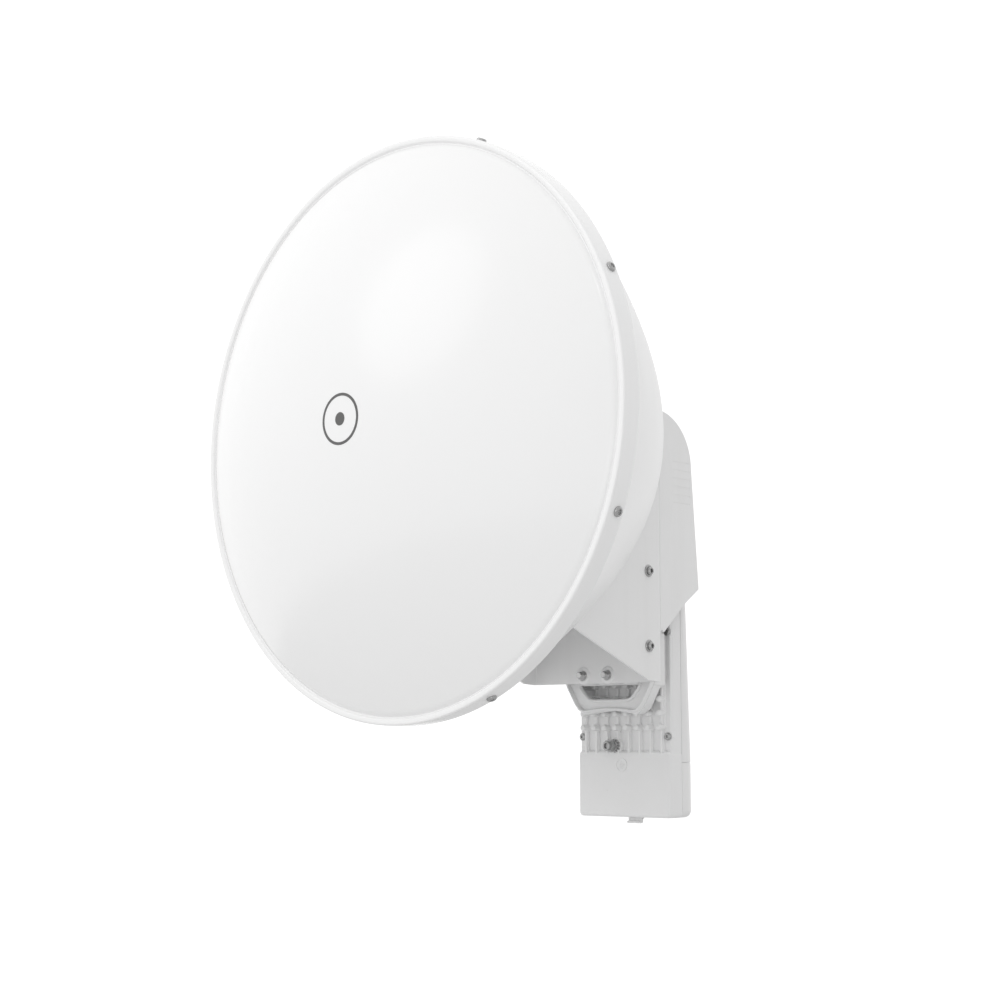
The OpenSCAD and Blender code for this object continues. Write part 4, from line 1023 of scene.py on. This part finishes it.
star_rows = rounded([(2.1, 0), (3.8, 0), (4.65, 0.1), (4.65, 1.0), (3.8, 1.1), (2.1, 1.1), (2.1, 0)],
                    0.15, 2)
spacer = turned(rounded([(2.1, 1.1), (3.9, 1.1), (3.9, 3.5), (2.1, 3.5), (2.1, 1.1)], 0.4), 40)
stud_place = (GROUND[0], FACE_Y, GROUND[1])
piece("star_washer", placed(turned(star_rows, 144, star), "-y", stud_place)
      + placed(spacer, "-y", stud_place), BRIGHT, ["ground_washer"])
stud_hex = turned(rounded([(0, 3.6), (4.6, 3.6), (4.6, 4.5), (4.4, 4.6, 1), (4.4, 7.6, 1, 4.4),
                           (4.4, 8.0, 1, 4.0), (2.0, 8.0, 0), (0, 8.0)], 0.25), 48)
stud_end = turned(rounded([(2.9, -1.9), (3.3, -1.4), (3.3, 0.8), (3.0, 1.2), (2.1, 1.2), (1.8, 0.9),
                           (1.7, -0.7), (0, -0.7)], 0.2), 36)
STUD_REACH = 9.0
stud_thread = thread(2.8, STUD_REACH + 2.2, 0.8, 0.4, 24, 0.5)
piece("earthing_stud", placed(stud_thread, "-y", (GROUND[0], FACE_Y + 2.6, GROUND[1]))
      + placed(stud_end, "-y", (GROUND[0], FACE_Y - STUD_REACH, GROUND[1]))
      + placed(stud_hex, "-y", stud_place), STEEL, ["ground_screw"])

# %% [markdown]
# The rear shell and the port cover are moulded plastic, each an open tray with a flat edge at the
# front and round corners at the back. A subdivided box would need many loops to hold that edge, so
# the outline is worked out row by row, and a Solidify modifier gives it the wall.

# %% An open tray
COVER_DEPTH, COVER_HEIGHT = 20, 37
COVER_BACK, PORT_Z = SEAM_Y + COVER_DEPTH, CAD_FOOT + COVER_HEIGHT


def tray(name, rows, node, caps, notch=None, corner=13.0, wall=2.4):
    """An open tray: a U-shaped outline in X and Y, round at the back, at each (height, inset, back) row.

    Side: x = half width - inset. Corner: a quarter circle of radius (corner - inset). Back: y = back.
    Strips from each point to its mirror image close the ends, less a notch of (half width, depth)."""
    bend = np.linspace(0, math.pi / 2, 13)

    def ring(inset, back):
        half, radius = HALF - inset, corner - inset
        x = np.concatenate([[half] * 4, half - radius + radius * np.cos(bend)[1:], [5.0, 0.0]])
        y = np.concatenate([[SEAM_Y + 0.1, SEAM_Y + 0.5, SEAM_Y + 3, back - radius],
                            back - radius + radius * np.sin(bend)[1:], [back, back]])
        y = np.minimum(np.maximum.accumulate(y), back)
        x[0] -= 0.2
        return np.concatenate([np.stack([x, y], axis=1), np.stack([-x[-2::-1], y[-2::-1]], axis=1)])

    rings = np.stack([ring(inset, back) for _, inset, back in rows])
    heights = np.array([row[0] for row in rows])
    points = np.concatenate([rings, np.broadcast_to(heights[:, None, None], rings.shape[:2] + (1,))],
                            axis=-1)
    columns = points.shape[1]
    parts = [(points.reshape(-1, 3), net(len(rows), columns, wrap=False))]
    for end in caps:
        right = points[end, :columns // 2 + 1]
        gap = np.minimum(notch[0] if notch else 4.0, right[:, 0] * 0.999)
        shares = np.stack([-right[:, 0], -gap, gap, right[:, 0]], axis=1)
        grid = np.stack([shares, np.repeat(right[:, 1:2], 4, axis=1), np.repeat(right[:, 2:3], 4, axis=1)],
                        axis=-1)
        cells = net(len(right), 4, wrap=False)
        if notch:
            cells = [cell for cell in cells
                     if cell[0] % 4 != 1 or right[cell[3] // 4, 1] > SEAM_Y + notch[1] + 0.1]
        parts.append((grid.reshape(-1, 3), cells))
    thing = piece(name, parts, COVER, [node], crease=30)
    shell = thing.modifiers.new("wall", "SOLIDIFY")
    shell.thickness, shell.offset, shell.use_even_offset = wall * MM, -1.0, False


print("port cover's top at", PORT_Z, "mm, covers' back at", COVER_BACK, "mm")

# %% [markdown]
# The port cover has a round foot, and a notch in it for the cable. The rear shell tapers a little
# towards its top, where its edge is soft. Both are given as rows of (height, inset, back), so the
# seam between them is simply where one list ends and the other begins.

# %% Port cover and rear shell
soft = np.linspace(0, math.pi / 2, 7)
FOOT_SOFT, PORT_BACK, TAPER = 5.0, COVER_BACK - 1.6, 6.5
foot_rows = [(FOOT_Z + FOOT_SOFT * (1 - math.cos(a)), FOOT_SOFT * (1 - math.sin(a)),
              PORT_BACK - FOOT_SOFT * (1 - math.sin(a))) for a in soft]
foot_rows += [(PORT_Z - 0.6, 0.0, PORT_BACK), (PORT_Z - 0.15, 0.2, PORT_BACK - 0.2)]
tray("port_cover_look", foot_rows, "port_cover", [0], notch=(9.0, 12.0))
shell_rows = [(PORT_Z - 2.2, 3.0, PORT_BACK - 3.0), (PORT_Z, 3.0, PORT_BACK - 3.0),
              (PORT_Z, 0.3, PORT_BACK - 0.3), (PORT_Z + 0.4, 0.0, PORT_BACK)]
shell_rows += [(PORT_Z + 0.4 + (TOP_Z - 3.4 - PORT_Z) * k / 6, 0.0,
                PORT_BACK - TAPER * k / 6) for k in range(1, 7)]
shell_rows += [(TOP_Z - 3 * (1 - math.sin(a)), 3 * (1 - math.cos(a)),
                PORT_BACK - TAPER - 3 * (1 - math.cos(a)))
               for a in soft[1:]]
tray("rear_cover_look", shell_rows, "rear_cover", [0, -1])

# %% [markdown]
# Under the port cover is its latch, a small hooked tab, built from three soft blocks. Inside are
# the board, its shield and its sockets. They show only when the cover is open, so their CAD shapes
# with soft edges are enough.

# %% Latch, board and sockets
tab = [block((-5.9, SEAM_Y - 1.6, FOOT_Z - 4.4), (5.9, SEAM_Y + 1.2, FOOT_Z - 0.2), 0.7),
       block((-5, SEAM_Y - 1, FOOT_Z - 1.6), (5, SEAM_Y + 3.5, FOOT_Z - 0.2), 0.5),
       block((-5.9, SEAM_Y - 3.4, FOOT_Z - 4.6), (5.9, SEAM_Y - 0.4, FOOT_Z - 3.0), 0.6)]
piece("latch_tab", tab, COVER, ["cover_latch"])
for node, width, finish, steps in (
        ("reset_button", 0.25, DARK, 3), ("ethernet_jack", 0.3, ALUMINIUM, 3), ("rf_shield", 0.2, STEEL, 2),
        ("circuit_board", 0.15, BOARD, 1), ("feed_hub", 0.6, ALUMINIUM, 3),
        ("hub_plate", 0.3, ALUMINIUM, 3)):
    softened(node, width, finish, steps)

# %% [markdown]
# Two short braided jumpers join the feed's side jacks to the radio's top jacks. Each is a tube
# whose path is a straight run, a quarter of a circle, and a straight drop. They are semi-rigid and
# keep the bend they were given, so the path is a formula and not a hanging curve.

# %% Braided jumpers
jumper_low, jumper_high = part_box("right_jumper")
JACK_Y = ((jumper_low.y + jumper_high.y) / 2 - RIM.y) / MM
jack_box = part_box("feed_jacks")
JACK_X = (jack_box[1].x - RIM.x) / MM
DROP_X, BEND, SIDES = JACK_X + 12, 8.0, 24
DROP_Z = (jumper_low.z - RIM.z) / MM
quarter = np.linspace(math.pi / 2, 0, 16)
for side, node in ((1, "right_jumper"), (-1, "left_jumper")):
    run = np.linspace(JACK_X, JACK_X + 4, 4)[:-1]
    drop = np.linspace(-BEND, DROP_Z, 12)[1:]
    path = np.concatenate([
        np.stack([run, np.zeros(3)], axis=1),
        np.stack([JACK_X + 4 + BEND * np.cos(quarter), -BEND + BEND * np.sin(quarter)], axis=1),
        np.stack([np.full(11, DROP_X), drop], axis=1)])
    place = np.stack([side * path[:, 0], np.full(len(path), JACK_Y), path[:, 1]], axis=1)
    points, faces, uv = tube(place, 1.8, SIDES)
    ends = [list(range(SIDES + 1))[::-1], list(range(len(points) - SIDES - 1, len(points)))]
    piece(node + "_braid", [(points, faces + ends)], BRAID, [node], uv=[uv])


# %% [markdown]
# The jumpers end in coupling nuts, hexagons with chamfered tips. One turned profile serves all
# four: it is only pointed a different way at each jack.

# %% Jumper nuts and jacks
nut_rows = rounded([(1.95, 8, 0), (3.6, 8, 0), (4.8, 7.6, 1, 4.3), (4.8, 7.0, 1, 4.8), (4.8, 0.8, 1, 4.8),
                    (4.8, 0, 1, 4.4), (3.15, 0, 0), (3.15, 5, 0), (1.95, 5, 0), (1.95, 8, 0)], 0.25)
coupling = turned(nut_rows, 48)
NUT_X, NUT_Z = JACK_X - 8 + 3, TOP_Z + 3
nut_parts = placed(coupling, "+x", (NUT_X, JACK_Y, 0)) + placed(coupling, "-x", (-NUT_X, JACK_Y, 0))
nut_parts += placed(coupling, "+z", (DROP_X, JACK_Y, NUT_Z), (-DROP_X, JACK_Y, NUT_Z))
piece("jumper_nuts_look", nut_parts, GOLD, ["jumper_nuts"])
for node in ("feed_jacks", "rf_jacks"):
    softened(node, 0.15, GOLD, 2)

# %% [markdown]
# ## The pole bracket
# The bracket is thick plate with a curved slot. Two clamps hold the pole: a saddle on the plate
# and a jaw that slides on two long bolts. Their CAD shapes hold the true bores, so they only get
# soft edges.

# %% Bracket, saddles and jaws
for node, width, finish, steps in (
        ("pole_bracket", 0.6, PAINT, 3), ("pole_saddles", 0.7, ALUMINIUM, 3),
        ("upper_jaw", 0.7, ALUMINIUM, 3),
        ("lower_jaw", 0.7, ALUMINIUM, 3), ("friction_washer", 0.3, RUBBER, 2)):
    softened(node, width, finish, steps)

# %% [markdown]
# The clamp bolts have low domed heads, a plain neck, and a thread where the jaws travel. Their
# places come from the boxes of the nodes they stand for, so the holes and the bolts agree.

# %% Clamp bolts
bolts_low, bolts_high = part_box("clamp_bolts")
jaw_low, jaw_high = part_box("upper_jaw")
low_jaw_low, low_jaw_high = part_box("lower_jaw")
washers_low, washers_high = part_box("upper_washers")
nuts_low, nuts_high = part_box("upper_nuts")


def from_rim(value, axis):
    """A place on one axis of the part's frame, in millimetres from the rim's centre."""
    return (value - RIM[axis]) / MM


BOLT_XS = [from_rim(washers_low.x, 0) + 8, from_rim(washers_high.x, 0) - 8]
CLAMP_ZS = {"upper": from_rim((jaw_low.z + jaw_high.z) / 2, 2),
            "lower": from_rim((low_jaw_low.z + low_jaw_high.z) / 2, 2)}
BOLT_Y0, BOLT_Y1 = from_rim(bolts_low.y, 1), from_rim(bolts_high.y, 1)
BOLT_PLACES = [(x, z) for z in CLAMP_ZS.values() for x in BOLT_XS]
HEAD_HEIGHT, NECK = 4.4, 40
PLATE_Y = BOLT_Y0 + HEAD_HEIGHT
head = turned(rounded([(0, 0), (8, 0), (8, 2), (4.4, HEAD_HEIGHT), (0, HEAD_HEIGHT)], 0.9), 48)
neck = turned(np.array([(0, -0.5), (4, -0.5), (4, NECK), (0, NECK)]), 32)
bolt_parts = placed(head, "-y", *[(x, PLATE_Y, z) for x, z in BOLT_PLACES])
bolt_parts += placed(neck, "+y", *[(x, PLATE_Y, z) for x, z in BOLT_PLACES])
bolt_thread = thread(4.0, BOLT_Y1 - PLATE_Y - NECK, 1.25, 0.45, 20, 0.9)
bolt_parts += placed(bolt_thread, "+y", *[(x, PLATE_Y + NECK, z) for x, z in BOLT_PLACES])
piece("clamp_bolts_look", bolt_parts, STEEL, ["clamp_bolts"])

# %% [markdown]
# Each jaw is held by two nuts on wide washers, which move with it. Nuts and washers are the same
# two turned shapes everywhere on the object, only at other sizes.

# %% Nuts and washers
def hex_nut(corner, thick, bore):
    """A hexagon nut with chamfered faces and a bore."""
    flat = corner * 0.93
    return turned(rounded([(bore, thick), (flat * 0.9, thick), (corner, thick, 1, flat),
                           (corner, thick * 0.9, 1, corner), (corner, thick * 0.1, 1, corner),
                           (corner, 0, 1, flat), (bore, 0, 0), (bore, thick, 0)], 0.3), 48)


def flat_washer(outer_r, thick, bore):
    """A flat washer with soft edges."""
    return turned(rounded([(bore, 0), (outer_r, 0), (outer_r, thick), (bore, thick), (bore, 0)], 0.35), 48)


WASHER_Y, NUT_Y = from_rim(washers_low.y, 1), from_rim(nuts_low.y, 1)
NUT_T, NUT_R = from_rim(nuts_high.y, 1) - NUT_Y, 7.36
for level, z in CLAMP_ZS.items():
    piece(level + "_washers_look", placed(flat_washer(8, NUT_Y - WASHER_Y, 4.15), "+y",
                                          *[(x, WASHER_Y, z) for x in BOLT_XS]), STEEL, [level + "_washers"])
    piece(level + "_nuts_look", placed(hex_nut(NUT_R, NUT_T, 4.05), "+y", *[(x, NUT_Y, z) for x in BOLT_XS]),
          STEEL, [level + "_nuts"])

# %% [markdown]
# The tilt's pivot is a hexagon bolt through the bracket and the channel's side; the lock bolt
# runs in the curved slot under a wide washer. Both are turned heads on a threaded rod.

# %% Pivot and lock
pivot_low, pivot_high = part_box("pivot_bolt")
PIVOT_Y, PIVOT_Z = SIDE_BOLTS[0]
HEAD_X, PIVOT_END = from_rim(pivot_low.x, 0), from_rim(pivot_high.x, 0)
HEAD_T = 8 * 0.65
pivot_head = turned(rounded([(0, 0), (6.6, 0), (7.36, 0, 1, 6.8), (7.36, 0.6, 1, 7.36),
                             (7.36, HEAD_T, 1, 7.36), (0, HEAD_T, 1)], 0.25), 48)
piece("pivot_bolt_look", placed(pivot_head, "+x", (HEAD_X, PIVOT_Y, PIVOT_Z))
      + placed(thread(4.0, PIVOT_END - HEAD_X - 1, 1.25, 0.3, 24, 0.9), "+x",
               (HEAD_X + 1, PIVOT_Y, PIVOT_Z)),
      STEEL, ["pivot_bolt"])
pivot_nut_low, pivot_nut_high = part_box("pivot_nut")
piece("pivot_nut_look", placed(hex_nut(7.36, (pivot_nut_high.x - pivot_nut_low.x) / MM, 4.0), "+x",
                               (from_rim(pivot_nut_low.x, 0), PIVOT_Y, PIVOT_Z)), STEEL, ["pivot_nut"])
lock_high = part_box("lock_bolt")[1]
washer_low, washer_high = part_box("lock_washer")
nut_low, nut_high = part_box("lock_nut")
LOCK_Y, LOCK_Z = SIDE_BOLTS[1]
LOCK_X1, LOCK_WX = from_rim(lock_high.x, 0), from_rim(washer_low.x, 0)
lock_head = turned(rounded([(0, -0.5), (5.2, -0.5), (5.2, 1.8), (3.8, 3.6), (2.3, 3.6), (2.0, 3.6, 1),
                            (2.0, 1.4, 1), (0, 1.4)], 0.8), 48)
piece("lock_bolt_look", placed(lock_head, "-x", (LOCK_WX, LOCK_Y, LOCK_Z))
      + placed(thread(3.0, LOCK_X1 - LOCK_WX + 0.5, 1.0, 0.25, 24, 0.6), "+x",
               (LOCK_WX - 0.5, LOCK_Y, LOCK_Z)),
      STEEL, ["lock_bolt"])
piece("lock_washer_look", placed(flat_washer(7, (washer_high.x - washer_low.x) / MM, 3.05), "+x",
                                 (LOCK_WX, LOCK_Y, LOCK_Z)), STEEL, ["lock_washer"])
piece("lock_nut_look", placed(hex_nut(5.4, (nut_high.x - nut_low.x) / MM, 3.05), "+x",
                              (from_rim(nut_low.x, 0), LOCK_Y, LOCK_Z)), STEEL, ["lock_nut"])

# %% [markdown]
# Four bolts hold the bowl's hub to the channel. Their heads are inside the dish and their nuts are
# behind it, on one circle, so one list of places serves both.

# %% Hub bolts
HUB_CIRCLE = 30
hub_bolt = turned(rounded([(0, -4.6), (4.5, -4.6), (4.6, -1.7), (2.5, -1.7), (2.5, 13.3), (0, 13.3)],
                          0.5), 40)
hub_nut = hex_nut(4.6, 4.0, 2.55)
hub_spots = [(HUB_CIRCLE * math.cos(a), HUB_CIRCLE * math.sin(a)) for a in np.radians([45, 135, 225, 315])]
piece("hub_bolts_look", placed(hub_bolt, "+y", *[(x, HUB_Y, z) for x, z in hub_spots]), STEEL, ["hub_bolts"])
piece("hub_nuts_look", placed(hub_nut, "+y", *[(x, HUB_Y + 6.5, z) for x, z in hub_spots]), STEEL,
      ["hub_nuts"])

# %% [markdown]
# ## The rest of the frame
# The gaskets and a few inner pieces keep their CAD meshes. Each still gets its finish here, from
# the material slot that the record gives it, and not by name, so that no node can be forgotten.

# %% Finishes on carried-over nodes
SLOT_FINISH = {"painted_steel": PAINT, "radome_plastic": RADOME, "cast_aluminium": CAST,
               "white_plastic": COVER,
               "bare_aluminium": ALUMINIUM, "steel": STEEL, "gold_brass": GOLD, "cable_jacket": BRAID,
               "seal_rubber": RUBBER, "feed_plastic": CREAM, "board": BOARD, "dark_plastic": DARK}
for part in frame["record"]["subparts"]:
    node = frame["nodes"][part["node"]]
    node.data.materials.clear()
    node.data.materials.append(SLOT_FINISH[part["material_slot"]])

# The floor is a wide pale disc, far enough down to take only a soft shade.

FLOOR_DROP, FLOOR_R = 1500.0, 6000.0
floor_rows = np.array([(0.0, -FLOOR_DROP), (FLOOR_R, -FLOOR_DROP)])
floor_finish = Finish("pale_floor").set(Base_Color=(0.6, 0.6, 0.6, 1.0), Roughness=0.9)
points, faces = turned(floor_rows, 96)
mesh = bpy.data.meshes.new("floor")
mesh.from_pydata(points * MM + np.array(RIM), [], faces)
mesh.materials.append(floor_finish)
floor = bpy.data.objects.new("floor", mesh)
bpy.context.scene.collection.objects.link(floor)
